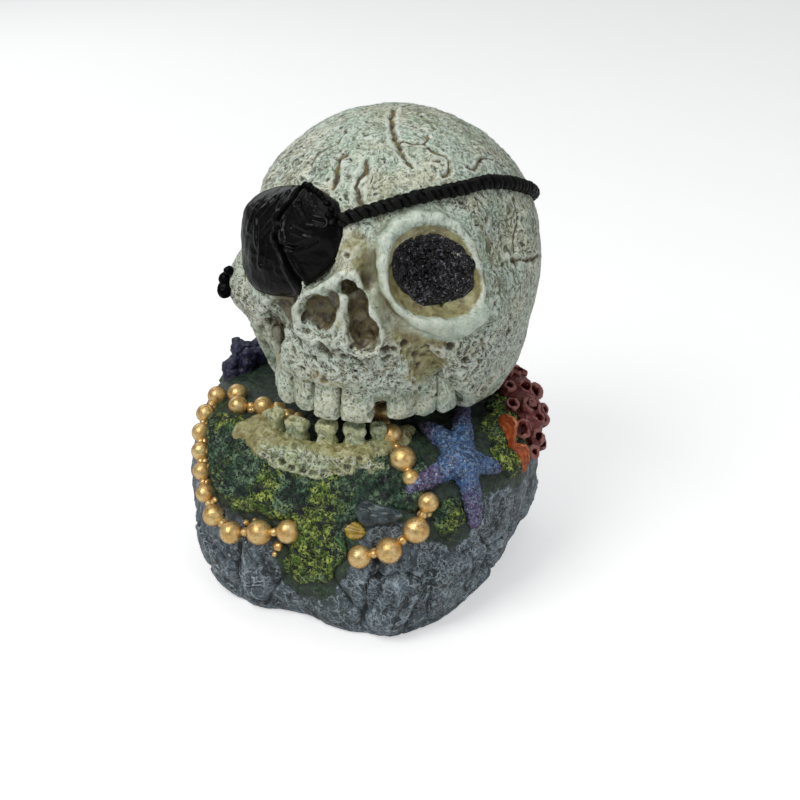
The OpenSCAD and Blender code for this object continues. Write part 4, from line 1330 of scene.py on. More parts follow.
def build_lower_teeth():
    clay = Clay((-20, -31, 40), (16, -10, 50), FINE)
    teeth = None
    for x, y, width, top in LOWER_TEETH:
        turn = math.atan2(x + 2, -(y + 9)) * .75
        half_height = (top - 40.5) / 2
        tooth = clay.part()
        tooth.add(clay.box((x, y + 1.4, 40.5 + half_height), (width * .40, 1.6, half_height), .9,
                           turn))
        tooth.add(clay.box((x, y + 1.4, top - .9), (width * .49, 1.8, 1.0), .7, turn), 1.2)
        tooth.add(clay.box((x, y + 1.3, 42.2), (width * .48, 2.1, 1.6), .9, turn), 1.2)
        tooth.cut(clay.ellipsoid((x - .3, y - .8, (top + 43.2) / 2), (width * .20, .7, 1.7)), .5)
        tooth.cut(clay.ball((x + width * .22, y - .7, 42.8), .7), .3)
        tooth.cut(clay.ellipsoid((x, y + 1.3, top + .25), (width * .34, 1.0, .8)), .4)
        teeth = tooth.field if teeth is None else np.minimum(teeth, tooth.field)
    clay.field = teeth
    points, faces, hollow = worn_surface(clay, .26, 1320, ((2.0, .5, .4), (1.4, .35, .4)))
    # brown in the hollows of the teeth: painted shade
    add_look("lower_teeth", "base", "old_bone_resin", points, faces, cav=hollow,
             ochre=.45 * rise(45.5, 43, points[:, 2]) + .15, crack=0,
             brown=.3 * rise(0.0, .25, hollow), pale=.35, dirt=.4, pits=.35)


# ------------------------------------------------------------------ eye lining and patch
# outlines as (bearing, drop)
EYE_OUTLINE = [
    (-56.5, 61.3), (-47, 64.3), (-40.4, 71.5), (-37.8, 80), (-38.2, 88.5), (-45, 89.5),
    (-51, 90), (-57, 89.8), (-66, 84.5), (-72, 76), (-72.4, 68), (-66, 62.6)]
PATCH_OUTLINE = [
    (-143.5, 78.5), (-146.5, 73), (-147, 67), (-142.5, 61), (-135.5, 55.5), (-127, 52),
    (-117.5, 50), (-108.5, 49), (-101, 50), (-95, 52.5), (-90.3, 59), (-89.5, 63.5),
    (-90.5, 68.5), (-92.5, 73), (-95.5, 76.5), (-98.5, 79.4), (-101, 81.8), (-103.5, 86.4),
    (-112, 89.2), (-118.5, 90), (-126.5, 90.2), (-133.5, 88.2), (-139, 84)]
PATCH_BEARING, PATCH_DROP = -120, 70
# path, width, depth, lip
CREASES = [
    ([(-113.5, 50), (-114, 56), (-116.5, 63), (-114.5, 69)], .55, 1.0, .5),
    ([(-114.5, 69), (-109, 74), (-103.5, 80), (-101.5, 84)], .55, 1.1, .7),
    ([(-116.5, 63), (-121, 70), (-120, 79)], .5, .45, .5),
    ([(-124, 58), (-127, 66), (-124, 73)], .4, .3, .5),
    ([(-109, 57), (-103, 60.5), (-96.5, 61)], .45, .45, .5),
    ([(-112, 71), (-105, 70), (-98, 66.5)], .4, .45, .5),
    ([(-108, 64), (-100, 65)], .4, .3, .5), ([(-130, 63), (-131, 71)], .35, .25, .5),
    ([(-107, 52.5), (-102, 56)], .35, .35, .5), ([(-119, 54), (-118, 60)], .35, .3, .5)]


def skin_height(clay, out, heights):
    """The outermost of the heights along each direction that is inside the bone."""
    rays = SKULL_CENTER + out[..., None, :] * (skull_radius(out)[..., None, None]
                                               + heights[:, None])
    values = clay.sample(clay.field, rays.reshape(-1, 3)).reshape(rays.shape[:-1])
    return heights[np.maximum(0, len(heights) - 1 - np.argmax((values < 0)[..., ::-1], -1))]


def even_out(heights, times):
    """Smooths heights on a polar grid."""
    for _ in range(times):
        heights = .5 * heights + .25 * (np.roll(heights, 1, 0) + np.roll(heights, -1, 0))
        heights[:, 1:-1] = .5 * heights[:, 1:-1] + .25 * (heights[:, 2:] + heights[:, :-2])
    heights[:, 0] = heights[:, 0].mean()
    return heights


def build_eye_lining(clay):
    offsets = np.array(skull_path(EYE_OUTLINE)) - EYE_CENTER
    turns, rings = ((220, 64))
    degrees = np.arange(turns) * 360 / turns
    radius = outline_radius(offsets @ EYE_SIDE, offsets @ EYE_UP, degrees)
    around = np.concatenate([radius[-6:], radius, radius[:6]])
    radius = np.convolve(around, np.ones(13) / 13, "valid") * .97
    radius = radius * (1 + .035 * circle_noise(degrees, 6, 1.6, 731))
    share = np.linspace(0, 1, rings)
    spoke = (np.cos(rad(degrees))[:, None, None] * EYE_SIDE
             + np.sin(rad(degrees))[:, None, None] * EYE_UP)
    flat = EYE_CENTER + (share[None, :, None] * radius[:, None, None]) * spoke
    out = unit(flat - SKULL_CENTER)
    bed = skin_height(clay, out, np.arange(-14, 4, .12))
    bed = even_out(np.where(bed < -9, -6.4, bed), 3)   # bridges rays that pass through
    grit = (1.35 * (.5 - cells(flat, 1.05, 735)[0])
            + .7 * (.4 - np.abs(noise(flat, .8, 738))) + .5 * layered(flat, 2.4, 2, 736))
    height = bed + 1.4 * np.sqrt(np.clip(1 - share ** 4, 0, 1)) + grit * (1 - share ** 8)
    plain = skull_radius(out)
    top = SKULL_CENTER + out * (plain + height)[..., None]
    bottom = SKULL_CENTER + out * (plain + bed - .8)[..., None]
    points, faces = polar_solid(top, bottom)
    add_look("eye_socket_lining", "skull", "black_grit", points, faces,
             cav=cavity(points, faces[0], 3))


def build_eye_patch(clay):
    turns, rings = ((260, 90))
    degrees, share = polar_grid(turns, np.linspace(0, 1, rings) ** .9)
    squeeze = math.sin(rad(PATCH_DROP))
    outline = np.array(PATCH_OUTLINE)
    radius = outline_radius((outline[:, 0] - PATCH_BEARING) * squeeze,
                            PATCH_DROP - outline[:, 1], degrees)
    radius = radius * (1 + .012 * circle_noise(degrees, 9, 2.2, 740))
    bearing = PATCH_BEARING + radius * share * np.cos(rad(degrees)) / squeeze
    drop = PATCH_DROP - radius * share * np.sin(rad(degrees))
    out = skull_dir(bearing, drop)
    bed = even_out(skin_height(clay, out, np.arange(-3, 7, .25)), 40)
    plain = SKULL_CENTER + out * skull_radius(out)[..., None]
    height = np.clip(bed, -1.0, 2.2) + 1.9 * (1 - share ** 9) ** .6
    for path, width, depth, lip in CREASES:
        away = path_distance(plain.reshape(-1, 3), ragged_path(path, 1.0, .35, 760))
        away = away.reshape(share.shape)
        height += lip * depth * hump(away - 2.1 * width, 1.1 * width) - depth * hump(away, width)
    right = np.exp(-(((bearing + 101) / 9) ** 2 + ((drop - 65) / 9) ** 2))
    left = np.exp(-(((bearing + 128) / 14) ** 2 + ((drop - 73) / 13) ** 2))
    height += (1.5 * right + 1.0 * left) * (1 - share ** 6)
    grain = .28 * layered(plain, 5, 2, 765) + .10 * layered(plain, 1.8, 2, 766, ridged=True)
    height += grain * (1 - share ** 8)
    height += .35 * hump(share - .955, .02) * .6
    top = plain + out * height[..., None]
    bottom = plain + out * (np.clip(bed, -1, 2.2) - .9)[..., None]
    points, faces = polar_solid(top, bottom)
    add_look("eye_patch", "skull", "black_gloss", points, faces, cav=cavity(points, faces[0], 5))


# ------------------------------------------------------------------ twisted cord
CORD_START, CORD_TURN, CORD_STATIONS = -92, 300, 260
CORD_PITCH = 3.7
# lumps at the ends of the patch: bearing, drop, lift, radius, seed
KNOTS = [(-146.5, 97.5, .7, 1.9, 790), (-148.5, 94.5, .7, 1.5, 791), (-146.5, 91.0, .7, 1.2, 796),
         (-150.5, 98.0, .5, 1.5, 792), (-93.5, 60.5, .9, 1.5, 793), (-95.5, 58.6, .9, 1.2, 794),
         (-96, 62.5, .8, 1.2, 795)]


def cord_drop(bearing):
    if bearing < -45:
        return 48.5 + 10.5 * ((bearing + 45) / 46) ** 2
    return 48.5 + 50 * (1 - math.exp(-(max(0, bearing + 28) / 76) ** 1.9))


def over_bone(clay, bearing, drop, lift):
    """Point along a direction, lift mm outside the bone's skin."""
    out = skull_dir(bearing, drop)
    ray = SKULL_CENTER + out * (float(skull_radius(out)) + np.arange(-6, 9, .1))[:, None]
    inside = np.where(clay.sample(clay.field, ray) < 0)[0]
    first_out = (inside[-1] + 1) if len(inside) else 60
    return ray[min(first_out, len(ray) - 1)] + out * lift


def cord_strand(center, along, side, up, strand):
    """One of the two strands that wind round the cord's center line."""
    phase = 2 * math.pi * (along / CORD_PITCH + strand / 2)
    radius = .72 + .05 * np.sin(along * .7)
    line = center + radius[:, None] * (np.cos(phase)[:, None] * side
                                       + np.sin(phase)[:, None] * up)
    forward = unit(np.gradient(line, axis=0))
    across = unit(np.cross(forward, [.3, .2, .93]))
    over = np.cross(forward, across)
    sides = 16
    angle = (np.arange(sides) * 2 * math.pi / sides)[None, :, None]
    thick = .92 + .10 * np.sin(2 * math.pi * along / 1.9 + 2 * strand)
    count = np.arange(len(along))
    ends = np.minimum(1, np.minimum(count / 3.0, count[::-1] / 3.0)) ** .5
    points = line[:, None] + (thick * ends)[:, None, None] * (
        np.cos(angle) * across[:, None] + np.sin(angle) * over[:, None])
    points = points.reshape(-1, 3)
    row = count[:-1, None] * sides
    i = row + np.arange(sides)
    j = row + (np.arange(sides) + 1) % sides
    faces = np.stack([i, j, j + sides, i + sides], -1).reshape(-1, 4)
    rough = .10 * layered(points, .9, 2, 780) + .12 * np.abs(noise(points, .7, 781))
    out = unit(points - np.repeat(line, sides, 0) + 1e-6)
    return points + rough[:, None] * out, faces


def build_cord(clay):
    bearings = [CORD_START + CORD_TURN * i / CORD_STATIONS for i in range(CORD_STATIONS + 1)]
    path = np.array([over_bone(clay, b, cord_drop(b), .75) for b in bearings])
    for _ in range(4):
        path[1:-1] = .5 * path[1:-1] + .25 * (path[2:] + path[:-2])
    length = arc_length(path)
    along = np.arange(0, length[-1], .3)
    center = np.stack([np.interp(along, length, path[:, k]) for k in range(3)], -1)
    forward = unit(np.gradient(center, axis=0))
    out = unit(center - SKULL_CENTER)
    side = unit(out - (out * forward).sum(-1, keepdims=True) * forward)
    up = np.cross(forward, side)
    strands = [cord_strand(center, along, side, up, strand) for strand in range(2)]
    lumps = [blob(over_bone(clay, *place), radius, seed) for *place, radius, seed in KNOTS]
    # a row of nubs along the patch's upper edge
    for k in range(9):
        place = over_bone(clay, -113.5 + 2.6 * k, 49.6 + .13 * k * k, 1.2)
        lumps.append(blob(place, .85 + .15 * math.sin(k * 2.2), 800 + k))
    add_blobs("patch_cord", "skull", "black_cord", lumps, strands, slot="black_gloss")


# ------------------------------------------------------------------ rock
# runs of beads: bearing, slope, diameter
BEADS_LEFT = [
    (-162.5, 17.3, 4.4), (-157, 26.4, 4.4), (-151.5, 33.8, 4.4), (-146, 39.8, 4.4),
    (-141, 46.2, 4.4), (-135.6, 52.6, 4.4), (-128.5, 57.6, 5.0), (-120, 60.3, 5.2),
    (-110.5, 57.5, 5.8), (-101, 55.4, 5.4)]
BEADS_DECK = [(-159.3, 9, 4.6), (-149.5, 11.6, 4.6), (-143.5, 6.4, 4.6)]
BEADS_RIGHT = [(-75.2, 58, 5.2), (-66.2, 54.8, 5.8), (-57.6, 47.8, 5.8), (-52.4, 38, 4.6)]
BEADS_UPPER = [(-56.5, 27.6, 3.8), (-58, 20, 5.8), (-60, 10, 5.2), (-60, 2.2, 4.8)]
BEAD_RUNS = [BEADS_LEFT, BEADS_DECK, BEADS_RIGHT, BEADS_UPPER]
# outlines of the moss as (bearing, slope)
MOSS = {
    "front": [
        (-156, 23), (-146, 12), (-132, 14), (-122, 24), (-111.5, 27), (-94.5, 24), (-76.5, 20),
        (-63.5, 16), (-50, 16), (-47.5, 30.8), (-52, 37.8), (-57, 42.5), (-63.5, 41),
        (-71.5, 42), (-77, 45.8), (-80, 50.8), (-78.5, 57.2), (-80, 62), (-83, 67), (-89, 72),
        (-96, 75.2), (-101.5, 72.2), (-103.5, 66.5), (-100, 58.5), (-101.5, 51.5), (-110, 53),
        (-119, 53), (-125.5, 51.2), (-133, 48.8), (-139, 44.2), (-145.5, 36)],
    "right_top": [
        (27, 12.5), (24, 21.8), (6.5, 19), (-2, 24), (-3, 35), (-6, 40), (-9.5, 42),
        (-19.5, 38.8), (-23, 32.5), (-22, 21.8), (-14.5, 8.8), (-3, 4.8), (14.5, 5.8)],
    "right_side": [
        (-50.5, 37.2), (-45, 35.6), (-40.5, 38.2), (-38.5, 46.5), (-41, 53), (-46.5, 56),
        (-51, 52.2), (-53, 45)],
    "rear": [
        (120, 10), (150, 8), (172, 16), (176, 30), (168, 44), (160, 56), (148, 62), (138, 54),
        (126, 48), (112, 38), (110, 22)]}
# the hollow under the rock: height, wall
CAVITY_WALL = [(0.0, 5.2), (3, 5.6), (8, 6.0), (14, 6.2), (20, 6.8), (26, 8.4), (30, 13.0),
               (32.5, 20)]


def bead_center(bead):
    bearing, slope, size = bead
    return rock_at(bearing, slope, .32 * size)


def near_bead(points, bead, core, fade):
    """1 near a bead, fading over fade mm beyond core diameters from its center."""
    away = np.linalg.norm(points - bead_center(bead), axis=-1)
    return hump(np.maximum(away - bead[2] * core, 0), fade)


def polygon_distance(x, y, polygon):
    """Signed distance to a polygon, negative inside."""
    distance = np.full(x.shape, 1e9)
    inside = np.zeros(x.shape, bool)
    for (x0, y0), (x1, y1) in zip(polygon, polygon[1:] + polygon[:1]):
        dx, dy = x1 - x0, y1 - y0
        along = np.clip(((x - x0) * dx + (y - y0) * dy) / (dx * dx + dy * dy), 0, 1)
        distance = np.minimum(distance, np.hypot(x - x0 - along * dx, y - y0 - along * dy))
        rise_y = dy if abs(dy) > 1e-9 else 1e-9
        inside ^= ((y0 > y) != (y1 > y)) & (x < dx * (y - y0) / rise_y + x0)
    return np.where(inside, -distance, distance)


def moss_scale(name):
    """Mean bearing and slope of a moss outline, and its mm per degree there."""
    bearing, slope = np.mean([b for b, _ in MOSS[name]]), np.mean([s for _, s in MOSS[name]])
    return bearing, slope, *mm_per_degree(bearing, slope)


def moss_distance(name, bearing, slope):
    bearing0, slope0, round_mm, down_mm = moss_scale(name)
    outline = [(wrap(b - bearing0) * round_mm, (s - slope0) * down_mm) for b, s in MOSS[name]]
    return polygon_distance(wrap(bearing - bearing0) * round_mm, (slope - slope0) * down_mm,
                            outline)


def build_rock():
    turns, rows = ((560, 168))
    around = np.arange(turns) * 360 / turns - 180
    # rows are evenly spread over the mean profile's length
    fine = np.linspace(.3, 90, 1200)
    length = sum(arc_length(rock_plain(float(b), fine)) for b in range(-180, 180, 20))
    slopes = np.interp(np.linspace(0.0, 1, rows), length / length[-1], fine)
    bearing, slope = np.meshgrid(around, slopes, indexing="ij")
    plain = rock_plain(bearing, slope)
    relief = rock_relief(bearing, slope, plain)
    # shallow beds so that the beads sit in the rock
    beds = np.zeros(bearing.shape)
    for run in BEAD_RUNS:
        for bead in run:
            beds = np.maximum(beds, near_bead(plain, bead, .42, .9))
    relief = relief * (1 - .6 * beds) + .35 * beds
    outside = plain + relief[..., None] * rock_normal(bearing, slope)
    outside[..., 2] = np.maximum(outside[..., 2], 0)
    outside[:, -1, 2] = 0.0
    inner = []
    for z, wall in CAVITY_WALL:
        level = np.full(turns, float(z))
        circle = np.stack([np.cos(rad(around)) * 30, np.sin(rad(around)) * 30, level], -1)
        radius = rock_radius(around, level) - wall + .4 * noise(circle, 6, 900)
        inner.append(rock_ring(around, radius, level))
    last = inner[-1]
    for z, share in ((33.3, .6), (33.6, .3)):
        middle = np.array([ROCK_X * (1 - share), ROCK_Y * (1 - share), z])
        inner.append(last * [share, share, 0] + middle)
    grid = np.concatenate([outside, np.stack(inner, 1)], 1)
    m = grid.shape[1]
    poles = [[ROCK_X, ROCK_Y, ROCK_HEIGHT + .2], [ROCK_X, ROCK_Y, 33.7]]
    points = np.concatenate([grid.reshape(-1, 3), poles])
    here = np.arange(turns) * m
    there = (np.arange(turns) + 1) % turns * m
    i = here[:, None] + np.arange(m - 1)
    j = there[:, None] + np.arange(m - 1)
    quads = np.stack([i, i + 1, j + 1, j], -1).reshape(-1, 4)
    caps = np.concatenate([
        np.stack([np.full(turns, len(points) - 2), here, there], 1),
        np.stack([np.full(turns, len(points) - 1), there + m - 1, here + m - 1], 1)])

    def extend(values, inner_value, ends):
        """Carries values of the outside over the inner rings and the two poles."""
        inner_values = np.broadcast_to(inner_value, (turns, m - rows))
        return np.concatenate([np.concatenate([values, inner_values], 1).ravel(), ends])

    large = cavity(smooth_mesh(points, quads, 5, .6), quads, 26)
    hollow = cavity(points, quads, 8) + .6 * np.clip(large, -.5, 1.5)
    outer = extend(np.ones(bearing.shape), 0.0, [1, 0])
    bearing = extend(bearing, around[:, None], [0, 0])
    slope = extend(slope, 90.0, [0, 90])
    deck = np.clip(1.0 - rise(36, 50, slope + 4 * noise(points, 9, 910)), 0, 1)
    ragged = 2.2 * layered(points, 5, 3, 912)
    for name in MOSS:
        deck = np.maximum(deck, rise(3.2, .4, moss_distance(name, bearing, slope) + ragged))
    sides = np.maximum(bell(bearing, -25, 38), .75 * bell(bearing, 100, 60))
    web = .25 + .75 * np.clip(sides + .3 * noise(points, 14, 911), 0, 1)
    add_look("rock_base", "base", "slate_resin", points, [quads, caps],
             cav=np.where(outer > 0, hollow, .15), deck=deck * outer, web=web * outer,
             gilt=extend(beds, 0.0, [0, 0]) * .62 * outer)


def moss_sheet(name, thickness, seed):
    """One moss patch: points, faces and its net and yellow values."""
    bearings, slopes = zip(*MOSS[name])
    start, end = min(bearings) - 4, max(bearings) + 4
    _, _, round_mm, _ = moss_scale(name)
    step = .3
    fine = np.linspace(max(1.0, min(slopes) - 4), max(slopes) + 4, 400)
    length = arc_length(rock_plain((start + end) / 2, fine))
    rows = np.interp(np.arange(0, length[-1], step), length, fine)
    bearing, slope = np.meshgrid(np.arange(start, end, step / round_mm), rows, indexing="ij")
    plain = rock_plain(bearing, slope)
    ragged, ragged_mm = (2.6, 7.5) if name == "rear" else (1.3, 4.5)
    edge = moss_distance(name, bearing, slope) + ragged * layered(plain, ragged_mm, 3, seed) + .25
    dome = np.sqrt(np.clip(-edge / 2.4, 0, 1))
    bent = plain + .5 * wobble(plain, 1.7, seed)
    first, second, _ = cells(bent, 1.55, seed + 10)
    wide = second - first
    first, second, _ = cells(bent, .95, seed + 20)
    net = np.maximum(hump(wide, .20), .55 * hump(second - first, .22))
    big = layered(plain, 6.5, 3, seed + 30)
    height = .25 + dome * (thickness + .75 * big + .35 * layered(plain, 2.4, 2, seed + 31))
    height = height + dome * (.62 * net - .30 * rise(.25, .6, wide)
                              + .18 * layered(plain, .8, 1, seed + 32))
    for run in BEAD_RUNS:   # room for the beads
        for bead in run:
            height = height - .9 * near_bead(plain, bead, .36, 1.0) * dome
    relief = rock_relief(bearing, slope, plain)[..., None] * .5
    normal = rock_normal(bearing, slope)
    top = plain + (relief + height[..., None]) * normal
    top = np.where((edge > -.12)[..., None], plain + (relief - .5) * normal, top)
    bottom = plain + (relief - 1.1) * normal
    within = edge < .3
    keep = within[:-1, :-1] & within[1:, :-1] & within[1:, 1:] & within[:-1, 1:]
    points, faces, used = sheet_solid(top, bottom, keep)
    yellow = .5 + .55 * big
    if name == "front":
        yellow = yellow + .5 * bell(bearing, -96, 16) * rise(40, 60, slope)
        yellow = yellow - .45 * bell(bearing, -60, 14)
    else:
        yellow = yellow + .25
    net, yellow = [np.tile(values.ravel(), 2)[used] for values in
                   (net * dome, np.clip(yellow, 0, 1))]
    return points, faces, net, yellow


def build_moss(node, names, thickness, seed):
    sheets = [moss_sheet(name, thickness, seed) for name in names]
    hollow = np.concatenate([cavity(sheet[0], sheet[1]) for sheet in sheets])
    points, net, yellow = [np.concatenate([sheet[k] for sheet in sheets]) for k in (0, 2, 3)]
    starts = np.cumsum([0] + [len(sheet[0]) for sheet in sheets])
    faces = np.concatenate([sheet[1] + start for sheet, start in zip(sheets, starts)])
    add_look(node, "base", "moss_resin", points, faces, net=net, yel=yellow, cav=hollow)


# ------------------------------------------------------------------ beads and links
# crumbs of gilt on the carved rock: bearing, slope, radius
GILT_CRUMBS = [
    (-128, 57.0, .9), (-104.5, 61.8, 1.15), (-105.5, 64.8, .75), (-139.5, 42.5, .8),
    (-143, 37.5, .7), (-117, 55.6, .8), (-113.5, 54.5, .9), (-54.5, 33.5, 1.1),
    (-52.5, 42.5, .9), (-131, 52.8, .8)]
DECK_LUMPS = [(-140.5, 4.2, 1.9), (-135.5, 5.2, 1.7), (-131, 5.6, 1.8), (-125.5, 6.0, 1.6)]


def build_beads(node, beads, first_seed):
    blobs = []
    for seed, bead in enumerate(beads, first_seed):
        center = bead_center(bead)
        points, quads, poles = blob(center, bead[2] * .535, seed, 26, .035)
        up = (points - center) @ rock_normal(*bead[:2])
        rough = .10 * layered(points, 1.0, 2, seed) * rise(.2, -1.2, up)   # only underneath
        blobs.append((points + rough[:, None] * unit(points - center), quads, poles))
    add_blobs(node, "base", "gilt_paint", blobs)


def build_bead_links():
    links = []
    for run in BEAD_RUNS:
        for bead, after in zip(run[:-1], run[1:]):
            a, b = bead_center(bead), bead_center(after)
            length = np.linalg.norm(b - a)
            middle = a + (b - a) * ((length / 2 + bead[2] / 4 - after[2] / 4) / length)
            links.append(blob(middle, 1.0, 1480 + len(links), 12, .14))
            links.append(blob(middle - .9 * rock_normal(*bead[:2]), 1.15, 1500 + len(links),
                              12, .3))
    for bearing, slope, radius in GILT_CRUMBS:
        links.append(blob(carved_at(bearing, slope, .3), radius, 1560 + len(links), 12, .3))
    for bearing, slope, radius in DECK_LUMPS:
        links.append(blob(carved_at(bearing, slope, .9), radius, 1590 + len(links), 14, .3,
                          (1, 1, .8)))
    add_blobs("bead_links", "base", "gilt_paint", links)


# ------------------------------------------------------------------ starfish and corals
# bearing, slope
STAR_CENTER = (-36.5, 22.2)
STAR_ARMS = [(-36.5, 3.8), (-4, 2.8), (-24.5, 30.8), (-37.5, 50), (-57, 31.8)]
ARM_RADII = [3.0, 2.75, 2.5, 2.3, 2.1, 1.9, 1.45]
# red tubes: bearing, slope, radius, height
TUBES = [
    (14.5, 12.2, 1.8, 4.2), (18.5, 18.5, 2.2, 4.2), (9, 21.8, 2.5, 4.0), (-6.5, 23.4, 2.0, 3.6),
    (7.5, 28, 1.9, 3.6), (.5, 32.5, 2.1, 3.0), (3, 14.5, 1.5, 3.6), (29.5, 13.8, 1.9, 4.8),
    (-4.5, 36.5, 1.5, 2.6), (24, 26, 2.0, 4.0), (15, 34, 1.9, 2.8), (34, 21, 2.0, 4.6),
    (6, 40, 1.6, 2.2), (25, 37, 1.9, 2.8), (38, 30, 1.8, 3.6), (22, 9, 1.7, 4.6)]
# beds the tubes stand on: (bearing, slope, height) stations and radii
TUBE_BEDS = [
    ([(36, 22, .2), (24, 19, .6), (14, 20, .6), (8, 27, .4), (2, 34, -.3)],
     [3.0, 3.2, 3.2, 3.0, 2.4]),
    ([(30, 32, -.2), (18, 30, .2), (8, 36, -.4)], [2.8, 3.0, 2.4])]
# blue stems: bearing, slope, height
STEMS = [(166, 10, 6.2), (171, 15, 6.6), (162, 16, 6.0), (176, 11, 5.4), (157, 11, 5.2),
         (168, 20, 5.2), (180, 17, 4.6)]


def rock_clay(places, below, above):
    """Clay round places on the rock, with margins in mm."""
    points = np.array([rock_at(place[0], place[1], 0) for place in places])
    return Clay(points.min(0) - below, points.max(0) + above, FINE)


def build_starfish():
    clay = rock_clay(STAR_ARMS, 5, 5.5)
    for tip in STAR_ARMS:
        stations = []
        for share in np.linspace(0, 1, 7):
            # the straight line from center to tip is laid down onto the rock
            straight = rock_plain(*STAR_CENTER) * (1 - share) + rock_plain(*tip) * share
            bearing = math.degrees(math.atan2(straight[1] - ROCK_Y, straight[0] - ROCK_X))
            slopes = np.linspace(1, 85, 337)
            away = np.linalg.norm(rock_plain(bearing, slopes) - straight, axis=1)
            stations.append(rock_at(bearing, slopes[np.argmin(away)], 1.5 - .75 * share))
        clay.add(clay.chain(stations, ARM_RADII, .6), 1.5)
    center = rock_at(*STAR_CENTER, 1.3)
    clay.add(clay.ellipsoid(center, (4.4, 4.4, 3.2)), 1.5)
    points, faces = surface(clay)
    first, _, value = cells(points, 1.2, 1600)
    rough = .52 * hump(first, .36) * (value < .85) + .22 * layered(points, 2.2, 2, 1601) - .12
    points = points + rough[:, None] * normals(points, faces)
    offset = points - center
    bearing = np.degrees(np.arctan2(points[:, 1] - ROCK_Y, points[:, 0] - ROCK_X))
    arm = (np.linalg.norm(offset, axis=1) / 13 - .12 + .35 * rise(-58, -66, bearing)
           - .3 * rise(center[2] + 1, center[2] + 6, points[:, 2])
           + .30 * rise(-2, -9, offset @ unit(np.array([.75, .62, .2]))))
    add_look("starfish", "base", "starfish_paint", points, faces, cav=cavity(points, faces),
             arm=np.clip(arm, 0, 1))


def build_tube_coral():
    clay = rock_clay(TUBES, 6, [7, 7, 8])
    for stations, radii in TUBE_BEDS:
        clay.add(clay.chain([rock_at(*station) for station in stations], radii, 1.5), 1.5)
    mouths = []
    for k, (bearing, slope, radius, height) in enumerate(TUBES):
        lean = np.array([.20, -.62, .34]) * (1.0 if bearing < 26 else .2)
        stray = .16 * np.array([math.sin(k * 2.1), math.cos(k * 1.3), .2])
        axis = unit(.75 * rock_normal(bearing, slope) + lean + stray)
        mouth = rock_at(bearing, slope, height)
        clay.add(clay.rod(mouth - axis * (height + 2.0), mouth - axis * .4, radius * .85,
                          radius * .95), .8)
        mouths.append((vec32(mouth), vec32(axis), radius))
    # a raised lip and a hole at each mouth
    for mouth, axis, radius in mouths:
        offset = clay.points - mouth
        along = offset @ axis
        away = np.linalg.norm(offset - along[..., None] * axis, axis=-1)
        away = away * (1 + .16 * math.sin(radius * 40)) + .22 * noise(clay.points, 1.6, 1640)
        clay.add(np.hypot(away - radius * .78, along - .15) - .36, .22)
        clay.cut(np.maximum(away - radius * .58, np.abs(along + .1) - 1.6), .3)
    points, faces = surface(clay)
    wrinkle = np.abs(noise(points * [1, 1, .75], 1.5, 1650))
    rough = (.55 * (.5 - wrinkle) * 1.2 + .2 * layered(points, 3, 2, 1651)
             + .16 * layered(points, .9, 1, 1652))
    points = points + rough[:, None] * normals(points, faces) * .8
    add_look("tube_coral", "base", "red_coral_paint", points, faces,
             cav=cavity(points, faces) * 1.3)


def build_branch_coral():
    clay = rock_clay(STEMS, 5.5, [6, 6, 10])
    for k, (bearing, slope, height) in enumerate(STEMS):
        root = rock_at(bearing, slope, -1.5)
        axis = unit(np.array([.45 * math.cos(k * 2.4), .45 * math.sin(k * 2.4), 1.0]))
        stem = clay.part()
        stem.add(clay.rod(root, root + axis * height, 2.2, 1.9))
        for j in range(5):
            aim = np.array([math.cos(j * 1.9 + k), math.sin(j * 1.9 + k), .25])
            branch = unit(axis + .9 * aim)
            start = root + axis * height * (.30 + .17 * j)
            stem.add(clay.rod(start, start + branch * (1.9 + .3 * (j % 2)), 1.3, 1.35), .3)
        clay.add(stem.field, .5)
    points, faces = surface(clay)
    first = cells(points, 1.3, 1700)[0]
    rough = .38 * hump(first, .36) - .1 + .15 * layered(points, 2, 2, 1701)
    points = points + rough[:, None] * normals(points, faces)
    add_look("branch_coral", "base", "blue_coral_paint", points, faces,
             cav=cavity(points, faces))


# ------------------------------------------------------------------ small pieces on the rock
def build_disc(node, material, place, seed, radius, height):
    """A thin piece at place = (bearing, slope); x runs round the rock and y down it, in mm."""
    degrees, share = polar_grid(96, np.linspace(0, 1, 34))
    reach = radius(degrees) * share
    x, y = reach * np.cos(rad(degrees)), -reach * np.sin(rad(degrees))
    round_mm, down_mm = mm_per_degree(*place)
    bearing = place[0] + x / round_mm
    slope = np.maximum(1.5, place[1] + y / down_mm)
    plain, normal = rock_plain(bearing, slope), rock_normal(bearing, slope)
    over = height(share, x, y) + .08 * layered(plain, 1.2, 2, seed)
    points, faces = polar_solid(plain + over[..., None] * normal, plain - .9 * normal)
    add_look(node, "base", material, points, faces, cav=cavity(points, faces[0], 5))


def abs_sin(degrees):
    return np.abs(np.sin(rad(degrees)))


def build_slate_chip():
    def radius(degrees):
        return 6.4 - 3.4 * abs_sin(degrees) ** .8 + .5 * np.cos(3 * rad(degrees))

    def height(share, x, y):
        layers = noise(np.stack([x * .5, y * 1.6, x * 0], -1), 1.1, 1801)
        return 2.0 * (1 - share ** 5) ** .6 + .35 * layers * (1 - share ** 4) - .16 * y * (share < 1)

    build_disc("slate_chip", "wet_slate_paint", (-70.8, 42.5), 1800, radius, height)


def build_scallop_shell():
    def radius(degrees):
        wide = 3.0 + .8 * np.cos(rad(degrees - 180)) + .10 * np.cos(14 * rad(degrees))
        return wide * (1 - .32 * abs_sin(degrees))

    def height(share, x, y):
        ribs = .20 * np.cos(22 * np.arctan2(y, 5.2 - x)) * (1 - share ** 8)
        return .75 * (1 - share ** 4) ** .5 + ribs + .05

    build_disc("scallop_shell", "yellow_shell_paint", (-76.6, 49.8), 1810, radius, height)


